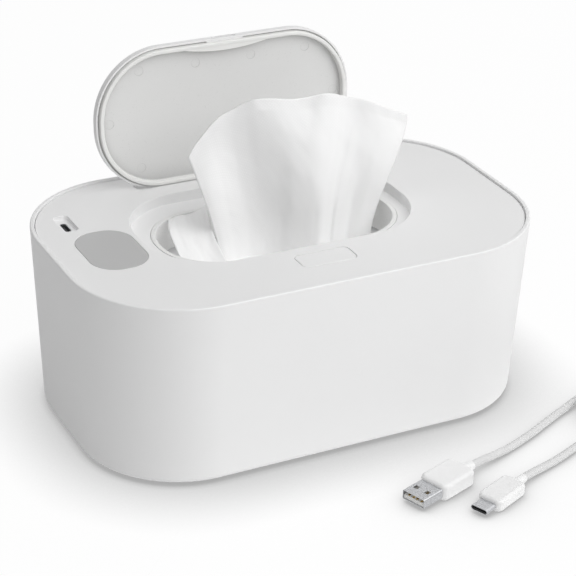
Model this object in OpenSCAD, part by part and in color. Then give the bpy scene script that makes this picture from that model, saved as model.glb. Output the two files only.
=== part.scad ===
// Baby wipe warmer: double-walled tub, lift-off top cover with the heater and
// electronics, spring-open lid over an oval well, and a loose USB lead.
// Origin: centre of the base, on the surface it stands on. +X right, -Y front.

/* [Body] */
// Width at the top rim
body_w = 220; // [210:1:235]
// Depth at the top rim
body_d = 138; // [134:1:146]
// Height from the table to the top rim
body_h = 88; // [86:1:92]
// Corner radius at the top rim
corner_r = 50; // [46:1:52]
// How much the wall draws in on each side from the rim to the table
draft = 4; // [2:0.5:5]
// Thickness of the outer wall, and width of the rim round the deck
wall = 2; // [1.8:0.1:2.4]
// Gap under the base, which the rubber feet span
foot_h = 1.2; // [0.8:0.1:2]

/* [Deck and well] */
// How far the deck lies below the rim
deck_drop = 0.9; // [0.6:0.1:1.2]
// Thickness of the deck
deck_t = 2.2; // [2:0.1:2.4]
// Offset of the well and lid from the centre, to the left
well_x = -2.8; // [-3:0.2:0]
// Front edge of the well, seen from the centre
well_front = -31.6; // [-32:0.2:-31]
// Width of the well that the lid drops into
well_w = 129.2; // [126:0.2:131]
// Depth of the well, front to back; the lid swings through what lies behind it
well_d = 74.4; // [74:0.2:76]
// Corner radius of the well
well_r = 32.8; // [32:0.2:34]
// How deep the shelf lies under the deck
well_depth = 5.1; // [5:0.1:5.3]
// Offset of the mouth from the centre, to the left
mouth_x = -1.6; // [-3:0.2:-1]
// Width of the mouth that the wipes come out of
mouth_w = 117; // [112:1:117]
// Depth of the mouth, front to back
mouth_d = 58; // [54:1:58]

/* [Lid] */
// Gap between the closed lid and the well at the front and sides
lid_gap = 0.4; // [0.3:0.1:0.6]
// Depth of the lid, front to back
lid_d = 68; // [67:0.2:68.4]
// Angle of the lid at rest, measured from closed
lid_open = 93; // [80:1:95]
// Thickness of the lid from its lip to its top
lid_t = 4.1; // [4:0.1:4.3]
// How far the sealing ring stands out of the lip
seal_proud = 1.5; // [1.3:0.1:1.6]
// Width of the sealing ring
seal_w = 1.9; // [1.6:0.1:2.2]

/* [Button and window] */
// Width of the latch button
button_w = 26; // [24:1:28]
// Depth of the latch button, front to back
button_d = 12; // [11.6:0.1:12.2]
// Travel of the latch button
button_travel = 2; // [1.6:0.1:2]
// Width of the grey touch window
window_w = 26; // [24:1:27]
// Length of the grey touch window, front to back
window_d = 39; // [36:1:40]

/* [Lead] */
// Diameter of the lead
cord_d = 3.5; // [3.2:0.1:3.6]
// Turns of the coil in each of its two layers
coil_turns = 3; // [2:1:3]
// Distance between neighbouring turns
coil_pitch = 4.1; // [4.05:0.05:4.4]
// Radius of the innermost turn
coil_in_r = 12.9; // [12.5:0.1:14]

/* [Hidden] */

// Colours as the object shows them
white = [0.93, 0.93, 0.93];
warm_white = [0.90, 0.90, 0.89];
window_grey = [0.72, 0.72, 0.72];
rubber_grey = [0.55, 0.55, 0.56];
steel = [0.75, 0.75, 0.77];
board_green = [0.10, 0.38, 0.20];
dark = [0.12, 0.12, 0.13];

fine = 96;      // facets of the large rounds
small = 48;     // facets of the small rounds
clear = 0.3;    // gap between bodies that lift or slide past each other

// Body levels and corner centres; the corner centres stay put as the wall draws in
corner_x = body_w / 2 - corner_r;
corner_y = body_d / 2 - corner_r;
function wall_r(z) = corner_r - draft * (body_h - z) / body_h;
floor_t = 2.4;
shell_floor = foot_h + floor_t;
foot_r = 6;
foot_x = corner_x + 18;
foot_y = corner_y + 20;
foot_sink = 0.8;

// Tub and the parts between the two walls
tub_t = 1.6;
tub_r = 40;
tub_r_floor = 37;
tub_floor = 10;
flange_top = body_h - 16;
flange_t = 2;
gasket_t = 1.2;

// Top cover levels
deck_z = body_h - deck_drop;
deck_under = deck_z - deck_t;
shelf_z = deck_z - well_depth;
shelf_t = 2;
cover_r = wall_r(deck_z) - wall - clear;
skirt_z = flange_top + gasket_t + 0.1;
skirt_r = wall_r(skirt_z) - wall - clear;
skirt_t = 2;
mouth_r = mouth_d / 2 - 1;
mouth_y = 4;
well_y = well_front + well_d / 2;
well_back = well_front + well_d;

// Inner cover, ring and heater levels
brim_z = flange_top + 1.5;
brim_t = 1.6;
dish_r = 37.4;
dish_floor = flange_top - 3.6;
film_t = 0.4;
plate_t = 1.2;
plate_z = dish_floor - film_t - plate_t;
plate_w = 168;
plate_d = 94;
wipes_top = plate_z - 2.8;

// Touch window, socket and board places
window_x = -83;
window_y = -0.5;
window_t = 1.5;
board_z = 78.4;
board_t = 1.6;
pocket_x = -91.8;
pocket_y = 31.8;
pocket_w = 7;
pocket_d = 16;
pocket_depth = 2;
socket_w = 9;
socket_t = 3.3;
usb_board_z = 76.6;

// Screws that hold the inner cover up to the deck
screw_x = [-78, 78];
screw_y = [-40, 40];
side_screws = [[-37, -50], [33, -50], [-37, 50.5], [33, 50.5]];
function screw_places() = concat([for (x = screw_x, y = screw_y) [x, y]], side_screws);
boss_r = 3.2;
pilot_r = 1.2;

// Lid levels, closed; its front corners share the centres of the well's
lip_z = shelf_z + 0.1 + seal_proud;
lid_top = lip_z + lid_t;
lid_w = well_w - 2 * lid_gap;
lid_r = well_r - lid_gap;
lid_front = well_front + lid_gap;
lid_y = lid_front + lid_d / 2;
lid_back = lid_front + lid_d;
lid_cx = lid_w / 2 - lid_r;
lid_cy = lid_d / 2 - lid_r;
roof_z = lid_top - 1.5;
lip_w = 0.9;
groove_w = 0.7;
seal_in = lip_w + groove_w;
liner_z = lip_z + 1.4;
liner_face = liner_z + 0.4;

// Hinge: axis along X behind the well, well under the deck
hinge_y = 46.3;
hinge_z = 76.2;
pin_r = 1.25;
pin_len = 30.6;
knuckle_r = 3.1;
knuckle_w = 7;
hinge_w = 28;
tongue_w = hinge_w - 1.6;
bay_front = 37.9;
bay_step = 52.3;
bay_back = 59;
bay_floor = 72.7;
bay_upper = 77;
bay_wall = 1.4;
trough_w = 92;
trough_floor = 84.6;

// Button and slider; the button's wedge and the slider's ramp both slope at 45 degrees
button_y = -44;
button_off = 1.6;
button_r = 3;
button_gap = 0.3;
cap_t = 2;
wedge_w = 8.4;
ramp_sum = 34.3;
wedge_gap = 0.2;
slider_z = 80.5;
slider_t = 1.5;
slider_w = 18;
nose_w = 11;
nose_z = lip_z + 0.7;
nose_t = 1.4;
nose_tip = lid_front + 1.3;
riser_back = -33.2;
riser_front = -34.8;
latch_half = nose_w / 2 + 0.4;

// USB-A plug on the table; its tip, the way it points, its height and lengths
usb_a_tip = [5.9, -116.5];
usb_a_turn = 19.5;
usb_a_z = 4.05;
usb_a_len = 12;
grip_a = [21, 15, 8];
// USB-C plug beside it
usb_c_tip = [28, -133.6];
usb_c_turn = 23.5;
usb_c_z = 3.05;
usb_c_len = 6.65;
grip_c = [21, 12, 6];
relief_len = 6;

// Lead: two stretches on the table and the coil beyond them
cord_sides = 8;
coil_centre = [135, -93];
coil_low = 3.2;
coil_rise = 4.1;
coil_start = 112;
coil_out_turns = 3.117;
route_a = [
    [42.7, -103.5, 4.05], [50, -101.1, 3.6], [58, -98.4, 2.6], [66, -95.6, 1.9], [75, -92.2, 1.8],
    [84, -88.4, 1.8], [93, -84, 1.8], [103, -79.2, 1.8], [111, -75.8, 1.9], [117, -73.2, 2.4]
];
route_c = [
    [59.7, -119.8, 3.05], [67, -116.9, 2.4], [76, -113.9, 1.8], [85, -110.8, 1.8], [94, -107.1, 1.8],
    [100, -105, 1.9], [105, -105.6, 2.5], [110.5, -108.6, 3.7], [116, -112, 5.5]
];

// Corner centres, outline and solid helpers

// Rounded rectangle given by its corner centres
module corner_rect(cx, cy, r) {
    for (sx = [-1, 1], sy = [-1, 1]) translate([sx * cx, sy * cy]) circle(r, $fn = fine);
    square([2 * cx, 2 * (cy + r)], center = true);
    square([2 * (cx + r), 2 * cy], center = true);
}

// Rounded rectangle given by its size
module round_rect(w, d, r) {
    corner_rect(w / 2 - r, d / 2 - r, r);
}

// Plate with that outline, from z up
module slab(w, d, r, z, t) {
    translate([0, 0, z]) linear_extrude(t) round_rect(w, d, r);
}

// Solid swept round the four corner centres; profile holds [radius, z] from bottom to top
module swept_body(cx, cy, profile) {
    last = len(profile) - 1;
    for (sx = [-1, 1], sy = [-1, 1])
        translate([sx * cx, sy * cy])
            rotate_extrude($fn = fine)
                polygon(concat([[0, profile[0][1]]], profile, [[0, profile[last][1]]]));
    translate([-cx, 0, 0]) rotate([90, 0, 90]) linear_extrude(2 * cx)
        polygon(concat(
            [for (p = profile) [cy + p[0], p[1]]],
            [for (i = [last:-1:0]) [-cy - profile[i][0], profile[i][1]]]));
    translate([0, cy, 0]) rotate([90, 0, 0]) linear_extrude(2 * cy)
        polygon(concat(
            [for (p = profile) [cx + p[0], p[1]]],
            [for (i = [last:-1:0]) [-cx - profile[i][0], profile[i][1]]]));
}

// Ring with a flat top and bottom between two sizes of the same corner centres
module corner_ring(cx, cy, r_out, r_in, z, t) {
    translate([0, 0, z]) linear_extrude(t) difference() {
        corner_rect(cx, cy, r_out);
        corner_rect(cx, cy, r_in);
    }
}

// Moves what is drawn round the well's centre
module at_well() {
    translate([well_x, well_y, 0]) children();
}

// Moves what is drawn round the mouth's centre
module at_mouth() {
    translate([mouth_x, mouth_y, 0]) children();
}

// Upright pin or bore
module post(x, y, z, r, h) {
    translate([x, y, z]) cylinder(h = h, r = r, $fn = small);
}

// Cylinder along X
module x_pin(x, y, z, r, l) {
    translate([x, y, z]) rotate([0, 90, 0]) cylinder(h = l, r = r, $fn = small);
}

// Cylinder along Y
module y_pin(x, y, z, r, l) {
    translate([x, y, z]) rotate([-90, 0, 0]) cylinder(h = l, r = r, $fn = small);
}

// Block given by its low and high corners
module block(low, high) {
    translate(low) cube([high[0] - low[0], high[1] - low[1], high[2] - low[2]]);
}

// Tube swept along points, as one closed polyhedron; each ring stands square to the path
function unit(v) = v / norm(v);
function path_dir(p, i) = unit(p[min(i + 1, len(p) - 1)] - p[max(i - 1, 0)]);
function ring_side(t) = unit(cross(t, [0, 0, 1]));
function tube_points(p, r, n) = [
    for (i = [0:len(p) - 1])
        let (t = path_dir(p, i), a = ring_side(t), b = cross(a, t))
            for (k = [0:n - 1])
                p[i] + r * (cos(360 * (k + 0.5) / n) * a + sin(360 * (k + 0.5) / n) * b)
];
function tube_faces(m, n) = concat(
    [for (i = [0:m - 2], k = [0:n - 1]) [i * n + k, (i + 1) * n + k, (i + 1) * n + (k + 1) % n]],
    [for (i = [0:m - 2], k = [0:n - 1]) [i * n + k, (i + 1) * n + (k + 1) % n, i * n + (k + 1) % n]],
    [for (k = [1:n - 2]) [0, k, k + 1]],
    [for (k = [1:n - 2]) [(m - 1) * n, (m - 1) * n + k + 1, (m - 1) * n + k]]
);
module tube(p, d, n) {
    polyhedron(tube_points(p, d / 2, n), tube_faces(len(p), n), convexity = 8);
}

// Smooth curve through hand-placed points
function curve_at(a, b, c, d, t) = 0.5 * (
    2 * b + (c - a) * t + (2 * a - 5 * b + 4 * c - d) * t * t + (3 * b - a - 3 * c + d) * t * t * t);
function curve(p, steps) = concat(
    [for (i = [0:len(p) - 2], k = [0:steps - 1])
        curve_at(p[max(i - 1, 0)], p[i], p[i + 1], p[min(i + 2, len(p) - 1)], k / steps)],
    [p[len(p) - 1]]);
function path_length(p) = len(p) < 2 ? 0 : length_to(p, len(p) - 1);
function length_to(p, i) = i == 0 ? 0 : norm(p[i] - p[i - 1]) + length_to(p, i - 1);

// Outer shell: one moulding, walls, floor, foot pockets and the ribs that carry the tub
shell_profile = [
    [wall_r(foot_h) - 3.2, foot_h], [wall_r(foot_h) - 1.7, foot_h + 0.35],
    [wall_r(foot_h) - 0.6, foot_h + 1.3], [wall_r(foot_h + 3), foot_h + 3],
    [wall_r(body_h - 0.7), body_h - 0.7],
    [wall_r(body_h) - 0.2, body_h - 0.2], [wall_r(body_h) - 0.7, body_h]
];
shell_cavity = [
    [wall_r(shell_floor) - wall, shell_floor], [wall_r(body_h) - wall, body_h],
    [wall_r(body_h) - wall, body_h + 1]
];
module outer_shell() {
    color(white) difference() {
        union() {
            difference() {
                swept_body(corner_x, corner_y, shell_profile);
                swept_body(corner_x, corner_y, shell_cavity);
            }
            ledge_ribs();
        }
        for (sx = [-1, 1], sy = [-1, 1])
            post(sx * foot_x, sy * foot_y, 0, foot_r + 0.1, foot_h + foot_sink);
    }
}

// Ribs inside the shell whose tops carry the tub's flange
rib_t = 2;
rib_h = 16;
rib_reach = 5;
module ledge_ribs() {
    top = flange_top - flange_t;
    y_face = corner_y + wall_r(top) - wall;
    x_face = corner_x + wall_r(top) - wall;
    for (x = [-42, 0, 42], s = [-1, 1])
        block([x - rib_t / 2, s > 0 ? y_face - rib_reach : -y_face - 0.6, top - rib_h],
              [x + rib_t / 2, s > 0 ? y_face + 0.6 : -y_face + rib_reach, top]);
    for (s = [-1, 1])
        block([s > 0 ? x_face - rib_reach : -x_face - 0.6, -rib_t / 2, top - rib_h],
              [s > 0 ? x_face + 0.6 : -x_face + rib_reach, rib_t / 2, top]);
}

// Inner tub that holds the wipes, hung by its flange
module inner_tub() {
    color(warm_white) difference() {
        union() {
            swept_body(corner_x, corner_y, [
                [tub_r_floor - 4, tub_floor], [tub_r_floor - 1.2, tub_floor + 1.2],
                [tub_r_floor, tub_floor + 4], [tub_r, flange_top]]);
            translate([0, 0, flange_top - flange_t]) linear_extrude(flange_t)
                corner_rect(corner_x, corner_y, wall_r(flange_top) - wall - clear);
        }
        swept_body(corner_x, corner_y, [
            [tub_r_floor - 5, tub_floor + tub_t], [tub_r_floor - tub_t - 1, tub_floor + tub_t + 1],
            [tub_r_floor - tub_t, tub_floor + 5], [tub_r - tub_t, flange_top + 1]]);
    }
}

// Foam cup between the two walls
cup_gap = 0.6;
cup_top = flange_top - flange_t - rib_h - 1;
module insulation_cup() {
    z0 = shell_floor + 0.2;
    color([0.85, 0.85, 0.83]) difference() {
        swept_body(corner_x, corner_y, [
            [wall_r(z0) - wall - cup_gap, z0], [wall_r(cup_top) - wall - cup_gap, cup_top]]);
        swept_body(corner_x, corner_y, [
            [tub_r_floor + cup_gap, tub_floor - 0.2], [tub_r + cup_gap, flange_top]]);
    }
}

// Four feet pressed into the base
module rubber_feet() {
    color(rubber_grey) for (sx = [-1, 1], sy = [-1, 1])
        translate([sx * foot_x, sy * foot_y, 0]) rotate_extrude($fn = small)
            polygon([
                [0, 0], [foot_r - 0.6, 0], [foot_r, 0.5],
                [foot_r, foot_h + foot_sink], [0, foot_h + foot_sink]]);
}

// Seal between the tub's flange and the top cover
module tub_gasket() {
    color([0.82, 0.82, 0.82])
        corner_ring(corner_x, corner_y, skirt_r - 0.6, skirt_r - skirt_t - 0.6, flange_top, gasket_t);
}

// Stack of folded wipes
stack_w = 168;
stack_d = 94;
stack_leaves = 12;
module wipe_stack() {
    low = tub_floor + tub_t + 0.2;
    step = (wipes_top - low) / stack_leaves;
    color([0.96, 0.96, 0.96]) difference() {
        slab(stack_w, stack_d, 12, low, wipes_top - low);
        for (i = [1:stack_leaves - 1]) translate([0, 0, low + i * step - 0.3]) linear_extrude(0.6)
            difference() {
                square([stack_w + 2, stack_d + 2], center = true);
                round_rect(stack_w - 4, stack_d - 4, 10);
            }
    }
}

// Top cover: deck, skirt, well, window seat, socket pocket, hinge bay and latch guides
module top_cover() {
    color(white) difference() {
        swept_body(corner_x, corner_y, [
            [skirt_r, skirt_z], [cover_r, deck_z - 0.4], [cover_r - 0.3, deck_z]]);
        cover_cavity();
        at_well() slab(well_w, well_d, well_r, shelf_z, 10);
        at_mouth() slab(mouth_w, mouth_d, mouth_r, shelf_z - shelf_t - 1, 10);
        window_seat();
        socket_cut();
        button_cut();
        hinge_bay_cut();
        trough_cut();
        for (p = screw_places()) post(p[0], p[1], brim_z - 1, pilot_r, 9);
        board_post_bores();
    }
}

// What is left open under the deck; the ribs, bosses and walls are what this spares
module cover_cavity() {
    difference() {
        swept_body(corner_x, corner_y, [
            [skirt_r - skirt_t, skirt_z - 1], [skirt_r - skirt_t, deck_under]]);
        at_well() slab(well_w + 2 * shelf_t, well_d + 2 * shelf_t, well_r + shelf_t, shelf_z - shelf_t, 10);
        for (p = screw_places()) post(p[0], p[1], dish_floor + 1.7, boss_r, 20);
        board_posts();
        socket_block();
        hinge_bay_walls();
        slider_guides();
        translate([well_x, 0, 0])
            block([-trough_w / 2 - 2, bay_step - 2, trough_floor - 2],
                  [trough_w / 2 + 2, bay_back + 2, deck_z]);
    }
}

// Seat of the touch window: a shallow rebate over a smaller opening
module window_seat() {
    translate([window_x, window_y, 0]) {
        slab(window_w + 0.3, window_d + 0.3, window_w / 2 - 1, deck_z - window_t - 0.05, 5);
        slab(window_w - 4, window_d - 4, window_w / 2 - 3, deck_under - 1, 10);
    }
}

// Posts under the deck for the two boards
window_posts = [[-9, -19.5], [9, -19.5], [-9, 19.5], [9, 19.5]];
usb_posts = [[0, -7.5], [0, 7.5]];
module board_posts() {
    for (p = window_posts) post(window_x + p[0], window_y + p[1], board_z + board_t, 2.2, 10);
    for (p = usb_posts) post(pocket_x + p[0], pocket_y + p[1], usb_board_z + board_t, 2, 10);
}
module board_post_bores() {
    for (p = window_posts) post(window_x + p[0], window_y + p[1], board_z, 0.8, 5.6);
    for (p = usb_posts) post(pocket_x + p[0], pocket_y + p[1], usb_board_z, 0.8, 5.6);
}

// Thickening under the socket pocket
module socket_block() {
    translate([pocket_x, pocket_y, 0])
        slab(pocket_w + 4, pocket_d + 4, 3, deck_z - pocket_depth - 2, 10);
}

// Pocket in the deck with the socket's slot in its floor
module socket_cut() {
    translate([pocket_x, pocket_y, 0]) {
        slab(pocket_w, pocket_d, 1.6, deck_z - pocket_depth, 5);
        slab(socket_t, socket_w + 0.1, socket_t / 2 - 0.01, deck_z - 10, 12);
    }
}

// Opening for the button, and the latch's way through the deck strip and the well's wall
module button_cut() {
    translate([well_x, 0, 0]) {
        translate([button_off, button_y, 0])
            slab(button_w + 2 * button_gap, button_d + 2 * button_gap,
                 button_r + button_gap, deck_z - cap_t - button_travel - 0.6, 8);
        block([-latch_half, riser_front - 0.5, nose_z - 0.25],
              [latch_half, well_front + 1, nose_z + nose_t + 0.3]);
        block([-latch_half, riser_front - 2.4, shelf_z - shelf_t - 1],
              [latch_half, riser_back + 0.4, nose_z + nose_t + 0.3]);
    }
}

// Channels that carry the slider under the deck, and the lug behind its spring
rail_in = slider_w / 2 + 0.3;
module slider_guides() {
    low = slider_z - 1.3;
    over = slider_z + slider_t + 0.3;
    side = rail_in + 0.7;
    lip = rail_in - 0.6;
    translate([well_x, 0, 0]) {
        for (s = [-1, 1]) {
            block([s * side - 0.7, -56, low], [s * side + 0.7, -46, deck_under + 1]);
            block([s * lip - 1, -56, low], [s * lip + 1, -46, slider_z - 0.3]);
            block([s * lip - 1, -56, over], [s * lip + 1, -46, deck_under + 1]);
        }
        block([-4, -65, slider_z - 3], [4, -63.4, deck_under + 1]);
    }
}

// Box under the deck that the lid's hinge works in; its sides hold the pin
module hinge_bay_walls() {
    half = hinge_w / 2 + bay_wall;
    translate([well_x, 0, 0]) {
        block([-half, bay_front - bay_wall, bay_floor - bay_wall], [half, bay_step + bay_wall, deck_z]);
        block([-half, bay_step, bay_upper - bay_wall], [half, bay_back + bay_wall, deck_z]);
    }
}
module hinge_bay_cut() {
    half = hinge_w / 2;
    translate([well_x, 0, 0]) {
        block([-half, bay_front, bay_floor], [half, bay_step, deck_z + 1]);
        block([-half, bay_step - 1, bay_upper], [half, bay_back, deck_z + 1]);
        x_pin(-half - bay_wall - 0.1, hinge_y, hinge_z, pin_r + 0.03, hinge_w + 2 * bay_wall + 0.2);
    }
}

// Shallow trough behind the well, where the foot of the open lid stands
module trough_cut() {
    translate([well_x, (bay_step + bay_back) / 2, 0])
        slab(trough_w, bay_back - bay_step, (bay_back - bay_step) / 2 - 0.1, trough_floor, 5);
}

// Slot in the dish that the heater's leads drop through
lead_slot_x = -64.6;

// Inner cover: a dish that plugs into the tub, with a brim under the top cover
module inner_cover() {
    color(warm_white) difference() {
        union() {
            swept_body(corner_x, corner_y, [
                [dish_r - 1, dish_floor], [dish_r, dish_floor + 1], [dish_r, brim_z + brim_t]]);
            translate([0, 0, brim_z]) linear_extrude(brim_t)
                corner_rect(corner_x, corner_y, skirt_r - skirt_t - clear);
        }
        translate([0, 0, dish_floor + brim_t]) linear_extrude(10)
            corner_rect(corner_x, corner_y, dish_r - brim_t);
        at_mouth() slab(mouth_w + 0.4, mouth_d + 0.4, mouth_r + 0.2, dish_floor - 1, 12);
        for (p = screw_places()) {
            post(p[0], p[1], dish_floor - 1, 1.6, 10);
            post(p[0], p[1], dish_floor - 1, 2.8, 1.9);
        }
        translate([lead_slot_x, 0, 0]) slab(3, 8, 1.4, dish_floor - 1, 12);
    }
}

// Ring that lines the mouth from the shelf down to the heating plate
ring_t = 2.2;
lip_up = 0.3;
module well_ring() {
    w = mouth_w - 0.4;
    d = mouth_d - 0.4;
    r = mouth_r - 0.2;
    color(white) at_mouth() difference() {
        union() {
            slab(w, d, r, plate_z, shelf_z + lip_up - plate_z - 0.4);
            slab(w - 0.6, d - 0.6, r - 0.3, plate_z, shelf_z + lip_up - plate_z);
            slab(w + 6, d + 6, r + 3, shelf_z - shelf_t - 1.8, 1.7);
        }
        slab(w - 2 * ring_t, d - 2 * ring_t, r - ring_t, plate_z - 1, 20);
        slab(w - 2 * ring_t + 0.8, d - 2 * ring_t + 0.8, r - ring_t + 0.4, shelf_z + lip_up - 0.4, 2);
    }
}

// Aluminium spreader that warms the top of the stack
module heating_plate() {
    color([0.78, 0.79, 0.80]) difference() {
        slab(plate_w, plate_d, 34, plate_z, plate_t);
        at_mouth() slab(mouth_w + 0.6, mouth_d + 0.6, mouth_r + 0.3, plate_z - 1, 5);
    }
}

// Printed heater film between the plate and the dish
module heater_film() {
    color([0.72, 0.45, 0.15]) difference() {
        slab(plate_w - 14, plate_d - 8, 30, plate_z + plate_t, film_t);
        at_mouth() slab(mouth_w + 6, mouth_d + 6, mouth_r + 3, plate_z, 5);
    }
}

// Temperature sensor and thermal cut-off on the dish's floor
sensor_x = -69;
module thermistor() {
    color([0.75, 0.30, 0.12]) {
        y_pin(sensor_x, 8, dish_floor + brim_t + 1.2, 1.2, 4);
        y_pin(sensor_x, 12, dish_floor + brim_t + 1.2, 0.3, 4);
        y_pin(sensor_x, 4, dish_floor + brim_t + 1.2, 0.3, 4);
    }
}
module thermal_fuse() {
    color(steel) {
        y_pin(sensor_x, -14, dish_floor + brim_t + 1.6, 1.6, 9);
        y_pin(sensor_x, -18, dish_floor + brim_t + 1.6, 0.4, 4);
        y_pin(sensor_x, -5, dish_floor + brim_t + 1.6, 0.4, 4);
    }
}

// Board with the display, the touch pad and the heater switch
module control_board() {
    color(board_green) translate([window_x, window_y, 0]) difference() {
        union() {
            slab(24, 45, 2, board_z, board_t);
            for (i = [-1:1])
                block([-2, i * 9 - 1.5, board_z + board_t], [2, i * 9 + 1.5, board_z + board_t + 1.4]);
            block([-5, -6, board_z - 1.4], [3, 3, board_z]);
            block([3, 8, board_z - 4], [9, 16, board_z]);
            post(-6, 10, board_z - 3.4, 2.4, 3.4);
        }
        for (p = window_posts) post(p[0], p[1], board_z - 1, 1.1, 5);
    }
}

// Three light boxes between the board and the window
module light_baffle() {
    color(dark) translate([window_x, window_y, 0]) difference() {
        slab(19, 33, 6, board_z + board_t + 0.1, deck_under - board_z - board_t - 0.2);
        for (i = [-1:1]) translate([0, i * 9, 0]) slab(13, 7, 2, board_z, 10);
    }
}

// Grey touch window, flush with the deck
module touch_window() {
    color(window_grey) translate([window_x, window_y, 0])
        slab(window_w, window_d, window_w / 2 - 1.2, deck_z - window_t, window_t);
}

// Socket board, the socket's steel shell and its tongue; the socket faces up
module usb_board() {
    color(board_green) translate([pocket_x, pocket_y, 0]) difference() {
        union() {
            slab(11.6, 20, 1.5, usb_board_z, board_t);
            block([-4.5, -5, usb_board_z - 1.2], [-1, 3, usb_board_z]);
        }
        for (p = usb_posts) post(p[0], p[1], usb_board_z - 1, 1.1, 5);
    }
}
socket_foot = usb_board_z + board_t;
socket_top = deck_z - pocket_depth - 0.15;
module usb_c_socket() {
    color(steel) translate([pocket_x, pocket_y, 0]) difference() {
        slab(socket_t - 0.2, socket_w - 0.1, 1.5, socket_foot, socket_top - socket_foot);
        slab(socket_t - 0.7, socket_w - 0.6, 1.25, socket_foot + 0.8, 20);
    }
}
module socket_tongue() {
    color(dark) translate([pocket_x, pocket_y, 0])
        slab(0.7, 6.7, 0.3, socket_foot + 0.8, socket_top - socket_foot - 1.8);
}

// Two leads from the control board down to the film
module heater_leads() {
    color([0.85, 0.1, 0.1]) for (s = [0, 1])
        tube(curve([
            [-77, 9 + 2 * s, board_z - 4.7], [-74, 8 + 2 * s, board_z - 5.4],
            [-68, 2 + 2.2 * s, dish_floor + 5.4], [-65.8, -0.6 + 2.2 * s, dish_floor + 3],
            [lead_slot_x, -1.2 + 2.4 * s, dish_floor + 0.7]], 4), 1.2, 8);
}

// Screws: pan head, plain shank
module screw(x, y, z, head_r, head_h, shank_r, length) {
    post(x, y, z, head_r, head_h);
    post(x, y, z + head_h - 0.01, shank_r, length);
}
module cover_screws() {
    color(steel) for (p = screw_places()) screw(p[0], p[1], dish_floor - 0.8, 2.6, 1.6, pilot_r, 7);
}
module board_screws() {
    color(steel) {
        for (p = window_posts) screw(window_x + p[0], window_y + p[1], board_z - 1.3, 1.6, 1.3, 0.8, 5);
        for (p = usb_posts) screw(pocket_x + p[0], pocket_y + p[1], usb_board_z - 1.3, 1.6, 1.3, 0.8, 5);
    }
}

// Steel pin through the bay's walls and the lid's knuckles
module hinge_pin() {
    color(steel) x_pin(well_x - pin_len / 2, hinge_y, hinge_z, pin_r, pin_len);
}

// Torsion spring round the pin: one leg on the bay's floor, the other under the lid's web
coil_mid_r = 2.1;
spring_wire = 0.7;
module lid_spring() {
    steps = 58;
    pitch = 1.4;
    start = -steps * pitch / 16;
    floor_leg = [for (z = [-3.1, -2, -0.9]) [start - 0.15, -coil_mid_r, z]];
    coils = [for (i = [0:steps])
        let (a = 180 + 45 * i)
            [start + pitch * i / 8, coil_mid_r * cos(a), -coil_mid_r * sin(a)]];
    web_leg = [for (p = [[1.6, 2.15], [3.3, 2.5], [4.8, 3.5], [6.5, 5.3], [8.1, 7.1]])
        [-start + 0.2, p[0], p[1]]];
    color(steel) translate([well_x, hinge_y, hinge_z])
        wire(concat(floor_leg, coils, web_leg), spring_wire, [1, 0.001, 0.002]);
}

// Thin round wire; its rings take the coil's axis as their reference, so that they never twist
module wire(p, d, axis) {
    n = 6;
    pts = [for (i = [0:len(p) - 1])
        let (t = path_dir(p, i), a = unit(cross(t, axis)), b = cross(a, t))
            for (k = [0:n - 1]) p[i] + d / 2 * (cos(60 * k) * a + sin(60 * k) * b)];
    polyhedron(pts, tube_faces(len(p), n), convexity = 10);
}

// Compression spring that pushes the slider back
module latch_spring() {
    turns = 5;
    y0 = -63.1;
    y1 = -56.3;
    mid = slider_z + 0.75;
    pts = [for (i = [0:turns * 8])
        [well_x + 1.7 * cos(i * 45), y0 + (y1 - y0) * i / (turns * 8), mid + 1.7 * sin(i * 45)]];
    color(steel) wire(pts, 0.5, [0.001, 1, 0.002]);
}

// Moves what is drawn closed to the lid's open rest
module lid_at_rest() {
    translate([0, hinge_y, hinge_z])
        rotate([-lid_open, 0, 0])
            translate([0, -hinge_y, -hinge_z]) children();
}

// Moves what is drawn round the lid's centre
module at_lid() {
    translate([well_x, lid_y, 0]) children();
}

// Flat rounded outline inset from the lid's edge
module lid_slab(inset, z, t) {
    translate([0, 0, z]) linear_extrude(t) corner_rect(lid_cx, lid_cy, lid_r - inset);
}

// Prism along X with a (y, z) outline
module yz_prism(x, w, outline) {
    translate([x, 0, 0]) rotate([90, 0, 90]) linear_extrude(w) polygon(outline);
}

// Lid: thin roof and lip, two arms with knuckles on the pin, and the catch window in the front lip
arm_outline = [
    [lid_back - 0.8, 84], [lid_back + 0.8, 84], [43.9, 74.4], [49, 78.3],
    [lid_back + 1.8, 87], [lid_back - 0.8, 87]
];
web_outline = [
    [lid_back - 0.8, 85.2], [lid_back + 1.3, 85.2], [42.9, 81.2], [44, 82.4],
    [lid_back + 1.8, 87], [lid_back - 0.8, 87]
];
module lid_shell() {
    color(white) lid_at_rest() {
        difference() {
            union() {
                difference() {
                    at_lid() swept_body(lid_cx, lid_cy, [
                        [lid_r, lip_z], [lid_r, lid_top - 1],
                        [lid_r - 0.3, lid_top - 0.3], [lid_r - 1, lid_top]]);
                    at_lid() lid_slab(lip_w, lip_z - 1, roof_z - lip_z + 1);
                    x_pin(well_x - 46, hinge_y, hinge_z, 12.62, 92);
                }
                hinge_arms();
                translate([well_x, 0, 0])
                    block([-9, lid_front + 0.3, lip_z], [9, lid_front + seal_in - 0.1, roof_z + 0.5]);
            }
            translate([well_x, 0, 0])
                block([-latch_half, lid_front - 1, lip_z + 0.5],
                      [latch_half, lid_front + 3, nose_z + nose_t + 0.25]);
            x_pin(well_x - 20, hinge_y, hinge_z, pin_r + 0.05, 40);
        }
    }
}
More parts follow.
